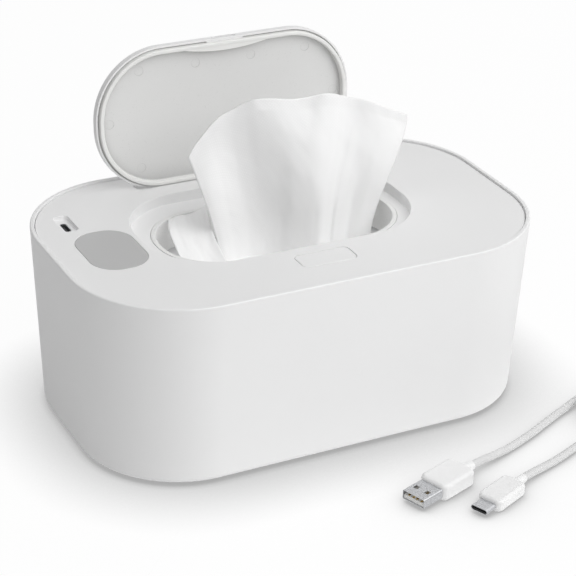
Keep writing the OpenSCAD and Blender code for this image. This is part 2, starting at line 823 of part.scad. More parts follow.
module hinge_arms() {
    for (s = [-1, 1]) {
        x = well_x + s * (tongue_w - knuckle_w) / 2 - knuckle_w / 2;
        yz_prism(x, knuckle_w, arm_outline);
        x_pin(x, hinge_y, hinge_z, knuckle_r, knuckle_w);
    }
    yz_prism(well_x - tongue_w / 2 + 1, tongue_w - 2, web_outline);
}

// Inner panel of the lid, with the swelling behind the catch
catch_r = 101;
ejector_marks = concat([for (x = [-42:28:42], y = [-23.3, 23.3]) [x, y]], [[-57, 0], [57, 0]]);
module lid_liner() {
    color(white) lid_at_rest() difference() {
        at_lid() lid_slab(lip_w + 0.1, liner_z, roof_z - liner_z - 0.1);
        at_lid() difference() {
            lid_slab(seal_in + seal_w, liner_z - 1, liner_face - liner_z + 1);
            translate([0, -lid_d / 2 + seal_in + seal_w + 2 - catch_r, liner_z - 2])
                cylinder(h = 5, r = catch_r, $fn = 240);
        }
        translate([well_x, 0, 0]) {
            block([-9.2, lid_front, liner_z - 1], [9.2, lid_front + seal_in, roof_z]);
            block([-nose_w / 2 - 0.5, lid_front, liner_z - 1], [nose_w / 2 + 0.5, nose_tip + 0.3, roof_z]);
        }
        at_lid() for (p = ejector_marks) post(p[0], p[1], liner_face - 1, 2.2, 1.2);
    }
}

// Sealing ring that lands on the shelf
module lid_seal() {
    z = lip_z - seal_proud;
    color(warm_white) lid_at_rest() at_lid() difference() {
        union() {
            lid_slab(seal_in + 0.4, z, 1);
            lid_slab(seal_in, z + 0.4, liner_z - z - 0.4);
        }
        lid_slab(seal_in + seal_w, z - 1, 6);
        lid_slab(seal_in + seal_w - 0.3, z - 1, 1.3);
    }
}

// Button: cap flush with the deck, two side tabs under the deck and a 45 degree wedge
module latch_button() {
    under = deck_z - cap_t;
    color(white) translate([well_x, 0, 0]) {
        translate([button_off, button_y, 0]) {
            slab(button_w, button_d, button_r, under, cap_t - 0.3);
            slab(button_w - 0.5, button_d - 0.5, button_r - 0.25, under, cap_t);
            for (s = [-1, 1]) {
                block([s * 12.3 - 0.7, -1.8, under - 1.2], [s * 12.3 + 0.7, 3, under + 0.5]);
                block([s * 13.2 - 1.1, -1.8, under - 1.2], [s * 13.2 + 1.1, 3, under - 0.4]);
            }
        }
        yz_prism(-wedge_w / 2, wedge_w, [
            [-49, under + 0.5], [-49, ramp_sum + wedge_gap + 49], [-45.3, ramp_sum + wedge_gap + 45.3],
            [-44, ramp_sum + wedge_gap + 45.3], [-44, under + 0.5]]);
    }
}

// Slider: flat plate with a ramp, and a riser that carries the nose into the lid's catch window
module latch_slider() {
    top = slider_z + slider_t;
    color(warm_white) translate([well_x, 0, 0]) {
        difference() {
            union() {
                block([-slider_w / 2, -56, slider_z], [slider_w / 2, riser_back, top]);
                block([-6.5, -52, slider_z], [6.5, -47, top + 0.8]);
            }
            yz_prism(-5, 10, [
                [ramp_sum - 79, 79], [ramp_sum - 84, 84], [-39, 84], [-39, 79]]);
            for (s = [-1, 1])
                block([s * 8 - 2.4, -38.5, slider_z - 1], [s * 8 + 2.4, riser_back + 1, top + 1]);
        }
        block([-nose_w / 2, riser_front, slider_z], [nose_w / 2, riser_back, nose_z + nose_t]);
        yz_prism(-nose_w / 2, nose_w, [
            [riser_front, nose_z], [nose_tip, nose_z], [nose_tip, nose_z + 0.4],
            [nose_tip - 1, nose_z + nose_t], [riser_front, nose_z + nose_t]]);
        y_pin(0, -59, slider_z + 0.75, 1.1, 3.2);
    }
}

// Thin sheet from a grid of points, its back face t behind its front face
module sheet(p, nu, nv, t) {
    n = (nu + 1) * (nv + 1);
    w = nu + 1;
    function at(i, j) = j * w + i;
    rim = concat(
        [for (i = [0:nu - 1]) [at(i, 0), at(i + 1, 0)]],
        [for (j = [0:nv - 1]) [at(nu, j), at(nu, j + 1)]],
        [for (i = [nu:-1:1]) [at(i, nv), at(i - 1, nv)]],
        [for (j = [nv:-1:1]) [at(0, j), at(0, j - 1)]]);
    polyhedron(
        concat(p, [for (q = p) q + t]),
        concat(
            [for (j = [0:nv - 1], i = [0:nu - 1]) [at(i, j), at(i + 1, j + 1), at(i + 1, j)]],
            [for (j = [0:nv - 1], i = [0:nu - 1]) [at(i, j), at(i, j + 1), at(i + 1, j + 1)]],
            [for (j = [0:nv - 1], i = [0:nu - 1]) [n + at(i, j), n + at(i + 1, j), n + at(i + 1, j + 1)]],
            [for (j = [0:nv - 1], i = [0:nu - 1]) [n + at(i, j), n + at(i + 1, j + 1), n + at(i, j + 1)]],
            [for (e = rim) [e[0], e[1], n + e[1]]],
            [for (e = rim) [e[0], n + e[1], n + e[0]]]),
        convexity = 8);
}

// The wipe that stands in the mouth: outline in the plane y = 5, pushed along a slant into its folds
wipe_t = 1.6;
wipe_low = 66;
slant = [0.52, 1, -0.58];
wipe_top = [
    [-45, 122], [-42, 127], [-37, 132.5], [-33, 136.5], [-29, 139.3], [-24, 141],
    [-18, 143], [-12, 143.5], [-3, 142.2], [4, 140.8], [12, 140.3], [19, 140.7],
    [25, 140.2], [31, 138.6], [42, 135], [54, 129.3], [65, 124.5]
];
fold_top = [
    [0, -1], [0.07, -5], [0.24, 3.5], [0.4, 0], [0.58, -7], [0.74, 1.5],
    [0.8, 0.5], [0.87, 1], [0.94, -3.5], [1, -1]
];
fold_low = [
    [0, -1], [0.04, -2.5], [0.2, 2.5], [0.32, 3], [0.48, 0], [0.66, -6.8],
    [0.75, 2], [0.84, 2], [0.92, -3], [1, 0]
];
function smooth(v) = v * v * (3 - 2 * v);
function wipe_point(u, v) =
    let (
        depth = lookup(u, fold_low) * (1 - v) + lookup(u, fold_top) * v,
        x_low = -28 + 76.5 * u,
        x_top = -45 + 110 * u,
        share = (1 - u) * pow(v, 1.3) + u * smooth(v),
        z_low = wipe_low - slant[2] * lookup(u, fold_low),
        z_top = lookup(x_top, wipe_top))
    [x_low + (x_top - x_low) * share, 5, z_low + (z_top - z_low) * v] + depth * slant;
module pop_up_wipe() {
    nu = 26;
    nv = 16;
    color([0.97, 0.97, 0.97])
        sheet([for (j = [0:nv], i = [0:nu]) wipe_point(i / nu, j / nv)], nu, nv, [0, wipe_t, 0]);
}

// The next wipe: drawn up in the mouth's left end until it rests on the back of the ring
module next_wipe() {
    nu = 10;
    nv = 12;
    right = -33;
    function point(u, v) =
        let (left = -50.5 + 5.7 * pow(v, 4), back = 29.4 - 4 * pow(1 - u, 2))
        [left + (right - left) * u, -12 + (back + 12) * v, 70 + 11.4 * pow(sin(90 * v), 0.9) + sin(180 * u)];
    color([0.96, 0.96, 0.96])
        sheet([for (j = [0:nv], i = [0:nu]) point(i / nu, j / nv)], nu, nv, [0, 0, -1.2]);
}

// Places a plug: its tip at the origin, its grip along +X
module plug_at(tip, turn, z) {
    translate([tip[0], tip[1], z]) rotate([0, 0, turn]) children();
}

// Tube along X with a rounded-rectangle section
module x_case(x, l, w, h, r) {
    translate([x, 0, 0]) rotate([90, 0, 90]) linear_extrude(l) round_rect(w, h, r);
}

// Grip: rounded block with a collar for the lead behind it
module grip(x, size, edge, relief_r) {
    half = size[2] / 2;
    translate([x + size[0] / 2, 0, 0]) swept_body(size[0] / 2 - 3, size[1] / 2 - 3, [
        [3 - edge, -half], [3 - 0.3 * edge, -half + 0.3 * edge], [3, -half + edge],
        [3, half - edge], [3 - 0.3 * edge, half - 0.3 * edge], [3 - edge, half]]);
    translate([x + size[0] - 0.5, 0, 0]) rotate([0, 90, 0])
        cylinder(h = relief_len + 0.5, r1 = relief_r, r2 = relief_r - 0.5, $fn = small);
}

// USB-A plug: pressed steel shell with two windows above and two below
module usb_a_shell() {
    color(steel) plug_at(usb_a_tip, usb_a_turn, usb_a_z) difference() {
        x_case(0, usb_a_len, 12, 4.5, 0.5);
        x_case(-1, usb_a_len + 2, 11.4, 3.9, 0.3);
        for (s = [-1, 1]) block([4.4, s * 3 - 1.1, -3], [6.8, s * 3 + 1.1, 3]);
    }
}
module usb_a_tongue() {
    color(white) plug_at(usb_a_tip, usb_a_turn, usb_a_z) difference() {
        block([0.6, -5.6, -1.9], [usb_a_len - 0.1, 5.6, 0]);
        for (y = [-3.5, -1, 1, 3.5]) block([0.4, y - 0.5, -0.2], [9, y + 0.5, 1]);
    }
}
module usb_a_contacts() {
    color([0.85, 0.68, 0.32]) plug_at(usb_a_tip, usb_a_turn, usb_a_z)
        for (y = [-3.5, -1, 1, 3.5]) block([1.2, y - 0.5, -0.2], [9, y + 0.5, 0]);
}
module usb_a_grip() {
    color(white) plug_at(usb_a_tip, usb_a_turn, usb_a_z) grip(usb_a_len, grip_a, 1.8, 2.6);
}

// USB-C plug: drawn steel shell, contact block and grip
module usb_c_shell() {
    color(steel) plug_at(usb_c_tip, usb_c_turn, usb_c_z) difference() {
        x_case(0, usb_c_len, 8.34, 2.56, 1.27);
        x_case(-1, usb_c_len + 2, 7.74, 1.96, 0.97);
    }
}
module usb_c_contacts() {
    color(dark) plug_at(usb_c_tip, usb_c_turn, usb_c_z) difference() {
        x_case(0.5, usb_c_len - 0.6, 7.7, 1.92, 0.95);
        x_case(-1, usb_c_len - 0.8, 6.8, 0.8, 0.3);
    }
}
module usb_c_grip() {
    color(white) plug_at(usb_c_tip, usb_c_turn, usb_c_z) grip(usb_c_len, grip_c, 1.5, 2.4);
}

// Stretches of lead on the table; each runs straight into its end of the coil
function lead(route, last, before) =
    concat(curve(concat(route, [last + 3 * unit(last - before)]), 2), [last]);
module cord_to_usb_a() {
    p = coil_path();
    color(white) tube(lead(route_a, p[0], p[1]), cord_d, cord_sides);
}
module cord_to_usb_c() {
    p = coil_path();
    last = len(p) - 1;
    color(white) tube(lead(route_c, p[last], p[last - 1]), cord_d, cord_sides);
}

// Coil: spirals in on the table, climbs in a half turn and spirals out on top
coil_ring = 15;
coil_out_r = coil_in_r + coil_pitch * coil_turns;
function coil_spot(angle, r, z) = [coil_centre[0] + r * cos(angle), coil_centre[1] + r * sin(angle), z];
function coil_path() =
    let (
        in_steps = 24 * coil_turns,
        out_steps = round(24 * coil_out_turns),
        top_start = coil_start - 360 * coil_turns - 180,
        low = [for (i = [0:in_steps])
            coil_spot(coil_start - coil_ring * i, coil_out_r - coil_pitch * i / 24, coil_low)],
        climb = [for (i = [1:12])
            coil_spot(coil_start - 360 * coil_turns - coil_ring * i, coil_in_r - sin(15 * i),
                coil_low + coil_rise * (1 - cos(15 * i)) / 2)],
        high = [for (i = [1:out_steps])
            coil_spot(top_start - coil_ring * i, coil_in_r + coil_pitch * i / 24, coil_low + coil_rise)],
        first = low[0],
        last = high[len(high) - 1],
        last_angle = top_start - coil_ring * out_steps)
    concat(
        [first - cord_d * [sin(coil_start), -cos(coil_start), 0]],
        low, climb, high,
        [last + cord_d * [sin(last_angle), -cos(last_angle), 0]]);
function least_gap(p, skip) =
    min([for (i = [0:len(p) - 1]) for (j = [i + skip:1:len(p) - 1]) norm(p[i] - p[j])]) - cord_d;
module cord_coil() {
    p = coil_path();
    echo(coil_least_gap = least_gap(p, 8), coil_length = path_length(p), coil_end = p[len(p) - 1]);
    color(white) tube(p, cord_d, 6);
}

// Tie round the coil
module cord_tie() {
    w = coil_out_r + coil_pitch / 2 - coil_in_r + cord_d + 2.4;
    h = coil_rise + cord_d + 0.8;
    mid = (coil_out_r + coil_in_r + coil_pitch / 2) / 2;
    color([0.30, 0.30, 0.32])
        translate([coil_centre[0] + mid, coil_centre[1] + 3, coil_low + coil_rise / 2])
        rotate([90, 0, 0]) linear_extrude(6) difference() {
            round_rect(w + 1.8, h + 1.8, 2);
            round_rect(w, h, 1.2);
        }
}

outer_shell();
inner_tub();
insulation_cup();
rubber_feet();
tub_gasket();
wipe_stack();
top_cover();
inner_cover();
well_ring();
heating_plate();
heater_film();
thermistor();
thermal_fuse();
control_board();
light_baffle();
touch_window();
usb_board();
usb_c_socket();
socket_tongue();
heater_leads();
cover_screws();
board_screws();
hinge_pin();
lid_spring();
latch_spring();
pop_up_wipe();
next_wipe();
lid_shell();
lid_liner();
lid_seal();
latch_button();
latch_slider();
usb_a_shell();
usb_a_tongue();
usb_a_contacts();
usb_a_grip();
usb_c_shell();
usb_c_contacts();
usb_c_grip();
cord_to_usb_a();
cord_coil();
cord_to_usb_c();
cord_tie();
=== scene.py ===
import bpy
import math
from mathutils import Matrix, Vector, noise


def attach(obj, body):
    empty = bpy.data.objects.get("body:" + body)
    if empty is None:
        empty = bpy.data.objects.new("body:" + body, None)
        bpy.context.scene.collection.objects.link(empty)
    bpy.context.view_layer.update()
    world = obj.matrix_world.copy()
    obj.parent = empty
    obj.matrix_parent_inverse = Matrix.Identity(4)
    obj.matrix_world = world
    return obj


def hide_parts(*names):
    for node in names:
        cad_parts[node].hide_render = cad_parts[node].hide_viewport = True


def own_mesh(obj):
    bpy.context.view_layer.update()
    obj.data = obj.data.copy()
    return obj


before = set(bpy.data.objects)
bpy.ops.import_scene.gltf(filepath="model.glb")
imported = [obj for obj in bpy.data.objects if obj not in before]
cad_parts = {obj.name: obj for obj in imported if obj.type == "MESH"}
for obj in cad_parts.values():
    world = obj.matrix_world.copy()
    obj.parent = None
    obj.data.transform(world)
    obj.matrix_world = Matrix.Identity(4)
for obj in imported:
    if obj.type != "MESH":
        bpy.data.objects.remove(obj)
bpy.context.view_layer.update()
mm = 0.001
print("frame loaded")


# the piece just made, under its name
def named(name):
    piece = bpy.context.object
    piece.name = name
    return piece


# the photograph's own viewpoint: place in millimetres, then the directions of its right and up sides
cameraView = {
    "place": (-364.448, -712.185, 462.073),
    "right": (0.89401118, -0.44732185, 0.02543956),
    "up": (0.18430257, 0.41890992, 0.88912712),
    "lens": 122.806, "sensor": 36, "nearest": 0.01, "farthest": 60,
}

bpy.ops.object.camera_add()
viewCamera = named("viewCamera")
rightSide, upSide = Vector(cameraView["right"]).normalized(), Vector(cameraView["up"]).normalized()
turned = Matrix((rightSide, upSide, rightSide.cross(upSide))).transposed().to_4x4()
viewCamera.matrix_world = Matrix.Translation(Vector(cameraView["place"]) * mm) @ turned
viewCamera.data.lens = cameraView["lens"]
viewCamera.data.sensor_width = cameraView["sensor"]
viewCamera.data.clip_start = cameraView["nearest"]
viewCamera.data.clip_end = cameraView["farthest"]
bpy.context.scene.camera = viewCamera


def clearAll():
    if bpy.context.object and bpy.context.object.mode != "OBJECT":
        bpy.ops.object.mode_set(mode="OBJECT")
    bpy.ops.object.select_all(action="DESELECT")


def choose(piece):
    clearAll()
    piece.select_set(True)
    bpy.context.view_layer.objects.active = piece


# the mesh takes over the place and turn that its object was given
def settle(piece):
    choose(piece)
    bpy.ops.object.transform_apply(location=True, rotation=True, scale=True)


# smooth way through given points, with a few steps between each two
def smoothWay(points, steps):
    way, last = [], len(points) - 1
    for k in range(last):
        a, b, c, d = (Vector(points[max(0, min(last, j))]) for j in (k - 1, k, k + 1, k + 2))
        for s in range(steps):
            t = s / steps
            way.append(0.5 * (2 * b + (c - a) * t + (2 * a - 5 * b + 4 * c - d) * t * t
                              + (3 * b - a - 3 * c + d) * t * t * t))
    return way + [Vector(points[-1])]


# one lead with a plug at each end; its middle is wound into a coil beyond the right edge of the view
leadWay = {
    "thick": 3.5,
    "fromBigPlug": [
        (37, -105.5, 4.05), (42.7, -103.5, 4.05), (50, -101.1, 3.6), (58, -98.4, 2.6), (66, -95.6, 1.9),
        (75, -92.2, 1.8), (84, -88.4, 1.8), (93, -84, 1.8), (103, -79.2, 1.8), (111, -75.8, 1.9),
        (117, -73.2, 2.4),
    ],
    "fromSmallPlug": [
        (53.4, -122.6, 3.05), (58.8, -120.2, 3.05), (67, -116.9, 2.4), (76, -113.9, 1.8),
        (85, -110.8, 1.8), (94, -107.1, 1.8), (100, -105, 1.9), (105, -105.6, 2.5), (110.5, -108.6, 3.7),
        (116, -112, 5.5),
    ],
    "coilCentre": (137.5, -94), "coilLow": 3.2, "coilRise": 4.1, "coilStart": 112, "runIn": 3.5,
    "innerTurn": 12.9, "pitch": 4.1, "turns": 3, "outTurns": 3.117, "stepsInTurn": 24, "sides": 6,
}


def coilSpot(degrees, radius, height):
    x, y = leadWay["coilCentre"]
    turn = math.radians(degrees)
    return Vector((x + radius * math.cos(turn), y + radius * math.sin(turn), height))


# in on the table, up in half a turn, and out again on top
def coilTurns():
    start, inner, pitch = leadWay["coilStart"], leadWay["innerTurn"], leadWay["pitch"]
    low, rise, turns = leadWay["coilLow"], leadWay["coilRise"], leadWay["turns"]
    count, runIn = leadWay["stepsInTurn"], leadWay["runIn"]
    step, outer, innerStart = 360 / count, inner + pitch * turns, start - 360 * turns
    spots = [coilSpot(start - step * k, outer - pitch * k / count, low) for k in range(count * turns + 1)]
    for k in range(1, count // 2 + 1):
        climb = math.radians(step * k)
        spots.append(coilSpot(innerStart - step * k, inner - math.sin(climb),
                              low + rise * (1 - math.cos(climb)) / 2))
    for k in range(1, round(count * leadWay["outTurns"]) + 1):
        spots.append(coilSpot(innerStart - 180 - step * k, inner + pitch * k / count, low + rise))
    before = spots[0] + (spots[0] - spots[1]).normalized() * runIn
    after = spots[-1] + (spots[-1] - spots[-2]).normalized() * runIn
    return [before] + spots + [after]


leadPoints = smoothWay(leadWay["fromBigPlug"] + coilTurns() + leadWay["fromSmallPlug"][::-1], 3)
leadLine = bpy.data.curves.new("lead", "CURVE")
leadLine.dimensions = "3D"
leadLine.bevel_depth = leadWay["thick"] / 2 * mm
leadLine.bevel_resolution = leadWay["sides"]
leadLine.use_fill_caps = True
line = leadLine.splines.new("POLY")
line.points.add(len(leadPoints) - 1)
for spot, point in zip(line.points, leadPoints):
    spot.co = (*(point * mm), 1)
line.use_smooth = True
lead = bpy.data.objects.new("lead", leadLine)
bpy.context.scene.collection.objects.link(lead)


# colours are written as sRGB hex and turned to linear here
def linear(hexColour):
    parts = [int(hexColour[k:k + 2], 16) / 255 for k in (1, 3, 5)]
    return [c / 12.92 if c <= 0.04045 else ((c + 0.055) / 1.055) ** 2.4 for c in parts] + [1]


def addNode(tree, kind, values=None, feeds=None, **settings):
    node = tree.nodes.new(kind)
    for name, value in settings.items():
        setattr(node, name, value)
    for socket, value in (values or {}).items():
        node.inputs[socket].default_value = value
    for socket, source in (feeds or {}).items():
        tree.links.new(source, node.inputs[socket])
    return node


# a noise whose spots are about size millimetres across
def addNoise(tree, place, size, detail, rough):
    return addNode(tree, "ShaderNodeTexNoise", {"Scale": 1 / (size * mm), "Detail": detail, "Roughness": rough},
                   {"Vector": place}).outputs["Fac"]


# stretches a number from one span to another
def addSpan(tree, source, start, end, least, most):
    values = {"From Min": start, "From Max": end, "To Min": least, "To Max": most}
    return addNode(tree, "ShaderNodeMapRange", values, {"Value": source}).outputs["Result"]


def addMaths(tree, operation, first, second):
    return addNode(tree, "ShaderNodeMath", {}, {0: first, 1: second}, operation=operation).outputs[0]


# 1 in the open, and less down to least where other faces lie within reach; it is the mask for painted shade
def addOpenness(tree, reach, span, least):
    near = addNode(tree, "ShaderNodeAmbientOcclusion", {"Distance": reach * mm}, samples=8)
    return addSpan(tree, near.outputs["AO"], *span, least, 1)


# sockets 6 and 7 of a mix are its two colours
def addTint(tree, colour, shade, share):
    return addNode(tree, "ShaderNodeMix", {6: linear(shade), 7: linear(colour)}, {0: share},
                   data_type="RGBA").outputs[2]


def newMaterial(name, fixed):
    made = bpy.data.materials.new(name)
    made.use_nodes = True
    shader = made.node_tree.nodes["Principled BSDF"]
    for socket, value in fixed.items():
        shader.inputs[socket].default_value = value
    return made, made.node_tree, shader


# a noise seldom leaves the middle of its range, so the gloss is spread over that part
noiseSpan = (0.3, 0.7)
usualLook = {"spread": 0.05, "relief": 0.1, "ior": 1.53}


def finishSkin(tree, shader, look, tint, grain, depthShare):
    rough, spread = look["rough"], look["spread"]
    gloss = addSpan(tree, grain, *noiseSpan, rough - spread, rough + spread)
    bump = addNode(tree, "ShaderNodeBump",
                   {"Strength": look["relief"], "Distance": look["grain"] * depthShare * mm}, {"Height": grain})
    tree.links.new(tint, shader.inputs["Base Color"])
    tree.links.new(gloss, shader.inputs["Roughness"])
    tree.links.new(bump.outputs["Normal"], shader.inputs["Normal"])


# moulded plastic: a spark-eroded mould leaves an even grain, and the gloss wanders a little with it
def mouldedSkin(name, colour, shade, **look):
    look = {**usualLook, **look}
    made, tree, shader = newMaterial(name, {"IOR": look["ior"]})
    place = addNode(tree, "ShaderNodeTexCoord").outputs["Object"]
    grain = addNoise(tree, place, look["grain"], 2, 0.6)
    tint = addTint(tree, colour, shade, addNoise(tree, place, look["cloud"], 3, 0.5))
    # painted shade: where a look asks for it, the colour is darkened near other faces
    if "nook" in look:
        tint = addNode(tree, "ShaderNodeMix", {0: 1}, {6: tint, 7: addOpenness(tree, *look["nook"])},
                       data_type="RGBA", blend_type="MULTIPLY").outputs[2]
    finishSkin(tree, shader, look, tint, grain, 0.25)
    return made


# metal: rolled or drawn, so the grain runs one way and the gloss streaks with it
def drawnMetal(name, colour, shade, **look):
    look = {**usualLook, **look}
    made, tree, shader = newMaterial(name, {"Metallic": 1})
    place = addNode(tree, "ShaderNodeTexCoord").outputs["Object"]
    along = addNode(tree, "ShaderNodeMapping", {"Scale": look["streak"]}, {"Vector": place})
    streaks = addNoise(tree, along.outputs["Vector"], look["grain"], 4, 0.7)
    finishSkin(tree, shader, look, addTint(tree, colour, shade, streaks), streaks, 0.2)
    return made


# satin ABS of the outside: fine even grain, soft highlights
satinAbs = mouldedSkin(
    "satinAbs", "#F1F1F1", "#EEEEEE", grain=0.55, cloud=60, rough=0.42, spread=0.04, relief=0.12)
# polished ABS of the lid's inner panel; painted shade makes it a little darker under its edge
polishedAbs = mouldedSkin(
    "polishedAbs", "#E8E8E7", "#E5E5E4", grain=0.9, cloud=40, rough=0.30, spread=0.03, relief=0.05,
    nook=(12, (0.45, 0.95), 0.64))
# polished ABS of the ring in the mouth
ringAbs = mouldedSkin(
    "ringAbs", "#EDEDEC", "#EAEAE9", grain=0.9, cloud=40, rough=0.30, spread=0.03, relief=0.05)
# natural polypropylene of the tub: waxy, a touch warmer
waxyPolypropylene = mouldedSkin(
    "waxyPolypropylene", "#F6F5F3", "#F2F1EE", grain=1.1, cloud=30, rough=0.38, relief=0.08, ior=1.49)
# silicone of the seals: soft, almost without shine
softSilicone = mouldedSkin("softSilicone", "#F4F4F2", "#F0F0EE", grain=0.4, cloud=20, rough=0.55, ior=1.41)
# grey touch window: printed on the back of clear polycarbonate, so it is even and semi-matt
greyPolycarbonate = mouldedSkin(
    "greyPolycarbonate", "#BDBDBD", "#B9B9B9", grain=0.35, cloud=25, rough=0.40, spread=0.03,
    relief=0.06, ior=1.58)
# soft thermoplastic skin of the plugs' grips
leadElastomer = mouldedSkin(
    "leadElastomer", "#F4F4F4", "#F0F0F0", grain=3, cloud=25, rough=0.46, spread=0.03, relief=0.02)
# the lead's jacket is the grips' white painted a shade greyer, as painted shade along the lead
leadJacketPaintedShade = mouldedSkin(
    "leadJacketPaintedShade", "#DDDDDD", "#D9D9D9", grain=3, cloud=25, rough=0.50, spread=0.03, relief=0.02)
footRubber = mouldedSkin(
    "footRubber", "#8E8E90", "#7E7E80", grain=0.5, cloud=8, rough=0.80, spread=0.06, relief=0.25)
tieRubber = mouldedSkin(
    "tieRubber", "#3A3A3C", "#2E2E30", grain=0.5, cloud=8, rough=0.70, spread=0.06, relief=0.25)
blackNylon = mouldedSkin("blackNylon", "#1E1E20", "#161618", grain=0.3, cloud=6, rough=0.45)
whiteNylon = mouldedSkin("whiteNylon", "#F2F2F0", "#ECECEA", grain=0.3, cloud=6, rough=0.42, relief=0.08)
foamBoard = mouldedSkin("foamBoard", "#E6E6E2", "#D8D8D4", grain=1.6, cloud=12, rough=0.85, relief=0.6)
boardLacquer = mouldedSkin("boardLacquer", "#1F6B3C", "#185A31", grain=0.8, cloud=10, rough=0.35)
polyimideFilm = mouldedSkin("polyimideFilm", "#B9782B", "#A5681F", grain=1.2, cloud=10, rough=0.25)
sensorGlaze = mouldedSkin("sensorGlaze", "#B4552C", "#9C4622", grain=0.4, cloud=4, rough=0.3)
redInsulation = mouldedSkin("redInsulation", "#C32222", "#AE1A1A", grain=0.4, cloud=6, rough=0.5)
# nickel on pressed steel: the plugs' shells
platedSteel = drawnMetal(
    "platedSteel", "#CFD0D2", "#B9BABD", grain=0.5, streak=(1, 1, 6), rough=0.30, spread=0.07)
springSteel = drawnMetal(
    "springSteel", "#D6D7DA", "#C4C5C8", grain=0.4, streak=(1, 1, 1), rough=0.25, relief=0.08)
rolledAluminium = drawnMetal(
    "rolledAluminium", "#DCDDDF", "#CBCCCF", grain=0.6, streak=(0.1, 3, 3), rough=0.38, spread=0.08,
    relief=0.12)
goldPlate = drawnMetal("goldPlate", "#E3C06A", "#D2AC55", grain=0.3, streak=(1, 1, 1), rough=0.28, relief=0.05)

# spunlaced wipe: water jets leave rows of tiny dimples on the fibres, and the cloth glows a little;
# a wave texture of scale 1 has that many bands in one unit
wipeLook = {
    "colour": "#FAFAFA", "shade": "#F3F3F3", "row": 1.3, "fibre": 0.35, "span": (125, 90, 1), "lean": 38,
    "bands": 3.18, "wander": 1.2, "dimple": 0.6, "relief": 0.25, "deep": 0.12,
    "skin": {"Roughness": 0.85, "Specular IOR Level": 0.25, "Sheen Weight": 0.15, "Sheen Roughness": 0.5,
             "Subsurface Weight": 0.12, "Subsurface Scale": 0.002, "Subsurface Radius": (0.5, 0.5, 0.5)},
}


def spunlaced():
    look = wipeLook
    made, tree, shader = newMaterial("spunlacedWipe", look["skin"])
    uv = addNode(tree, "ShaderNodeUVMap", uv_map="UVMap")
    size = addNode(tree, "ShaderNodeMapping",
                   {"Scale": look["span"], "Rotation": (0, 0, math.radians(look["lean"]))},
                   {"Vector": uv.outputs["UV"]})
    wave = {"Scale": 1 / look["row"] / look["bands"], "Distortion": look["wander"], "Detail": 1}
    across, down = (addNode(tree, "ShaderNodeTexWave", wave, {"Vector": size.outputs["Vector"]},
                            bands_direction=way).outputs["Fac"] for way in "XY")
    dimples = addMaths(tree, "MULTIPLY", across, down)
    place = addNode(tree, "ShaderNodeTexCoord").outputs["Object"]
    fibres = addNoise(tree, place, look["fibre"], 4, 0.7)
    relief = addNode(tree, "ShaderNodeMath", {1: look["dimple"]}, {0: dimples, 2: fibres},
                     operation="MULTIPLY_ADD").outputs[0]
    bump = addNode(tree, "ShaderNodeBump", {"Strength": look["relief"], "Distance": look["deep"] * mm},
                   {"Height": relief})
    # the colour follows the relief: a shade darker down in the dimples as painted shade, and the fibres' own
    # random tone
    tree.links.new(addTint(tree, look["colour"], look["shade"], relief), shader.inputs["Base Color"])
    tree.links.new(bump.outputs["Normal"], shader.inputs["Normal"])
    return made


spunlacedWipe = spunlaced()
print("materials ready")


def dress(piece, material, body=None, replaces=()):
    piece.data.materials.clear()
    piece.data.materials.append(material)
    if body:
        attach(piece, body)
    if replaces:
        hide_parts(*replaces)


# a plane merged to one vertex is the pen, and each extrude draws the next edge
def drawEdges(name, points):
    clearAll()
    bpy.ops.mesh.primitive_plane_add(size=0.002, location=(0, 0, 0))
    piece = named(name)
    bpy.ops.object.mode_set(mode="EDIT")
    bpy.ops.mesh.select_mode(type="VERT")
    bpy.ops.mesh.select_all(action="SELECT")
    bpy.ops.mesh.merge(type="CENTER")
    bpy.ops.transform.translate(value=[c * mm for c in points[0]])
    for start, end in zip(points, points[1:]):
        step = [(b - a) * mm for a, b in zip(start, end)]
        bpy.ops.mesh.extrude_vertices_move(TRANSFORM_OT_translate={"value": step})
    return piece


def closeUp(piece):
    bpy.ops.mesh.select_all(action="SELECT")
    bpy.ops.mesh.normals_make_consistent(inside=False)
    bpy.ops.object.mode_set(mode="OBJECT")
    return piece


# points closer than this are one, in millimetres
mergeGap = 0.01


# runs a section round a rounded rectangle; the section is a list of (distance in from the edge, height)
def sweepRound(name, size, corner, section, centre=(0, 0), steps=24, loop=False):
    cx, cy = size[0] / 2 - corner, size[1] / 2 - corner
    points = [(centre[0] + cx + corner - inset, centre[1] + cy, z) for inset, z in section]
    piece = drawEdges(name, points + points[:1] if loop else points)
    bpy.ops.mesh.select_all(action="SELECT")
    sides = (((1, 1), (-2 * cx, 0)), ((-1, 1), (0, -2 * cy)), ((-1, -1), (2 * cx, 0)), ((1, -1), (0, 2 * cy)))
    for (sideX, sideY), run in sides:
        hub = ((centre[0] + sideX * cx) * mm, (centre[1] + sideY * cy) * mm, 0)
        bpy.ops.mesh.spin(steps=steps, angle=-math.pi / 2, axis=(0, 0, 1), center=hub)
        bpy.ops.mesh.extrude_region_move(TRANSFORM_OT_translate={"value": (run[0] * mm, run[1] * mm, 0)})
    bpy.ops.mesh.select_all(action="SELECT")
    bpy.ops.mesh.remove_doubles(threshold=mergeGap * mm)
    if not loop:
        bpy.ops.mesh.fill_holes(sides=0)
    return closeUp(piece)


# quarter round from start to end, bulging away from hollow
def roundOff(start, end, hollow, steps):
    spots = []
    for k in range(steps + 1):
        a = math.pi / 2 * k / steps
        spots.append([h + (s - h) * math.cos(a) + (e - h) * math.sin(a) for s, e, h in zip(start, end, hollow)])
    return spots


# plain corners: the first leaves its start upright, the second leaves it level
def fromUpright(start, end, steps=4):
    return roundOff(start, end, (end[0], start[1]), steps)


def fromLevel(start, end, steps=4):
    return roundOff(start, end, (start[0], end[1]), steps)


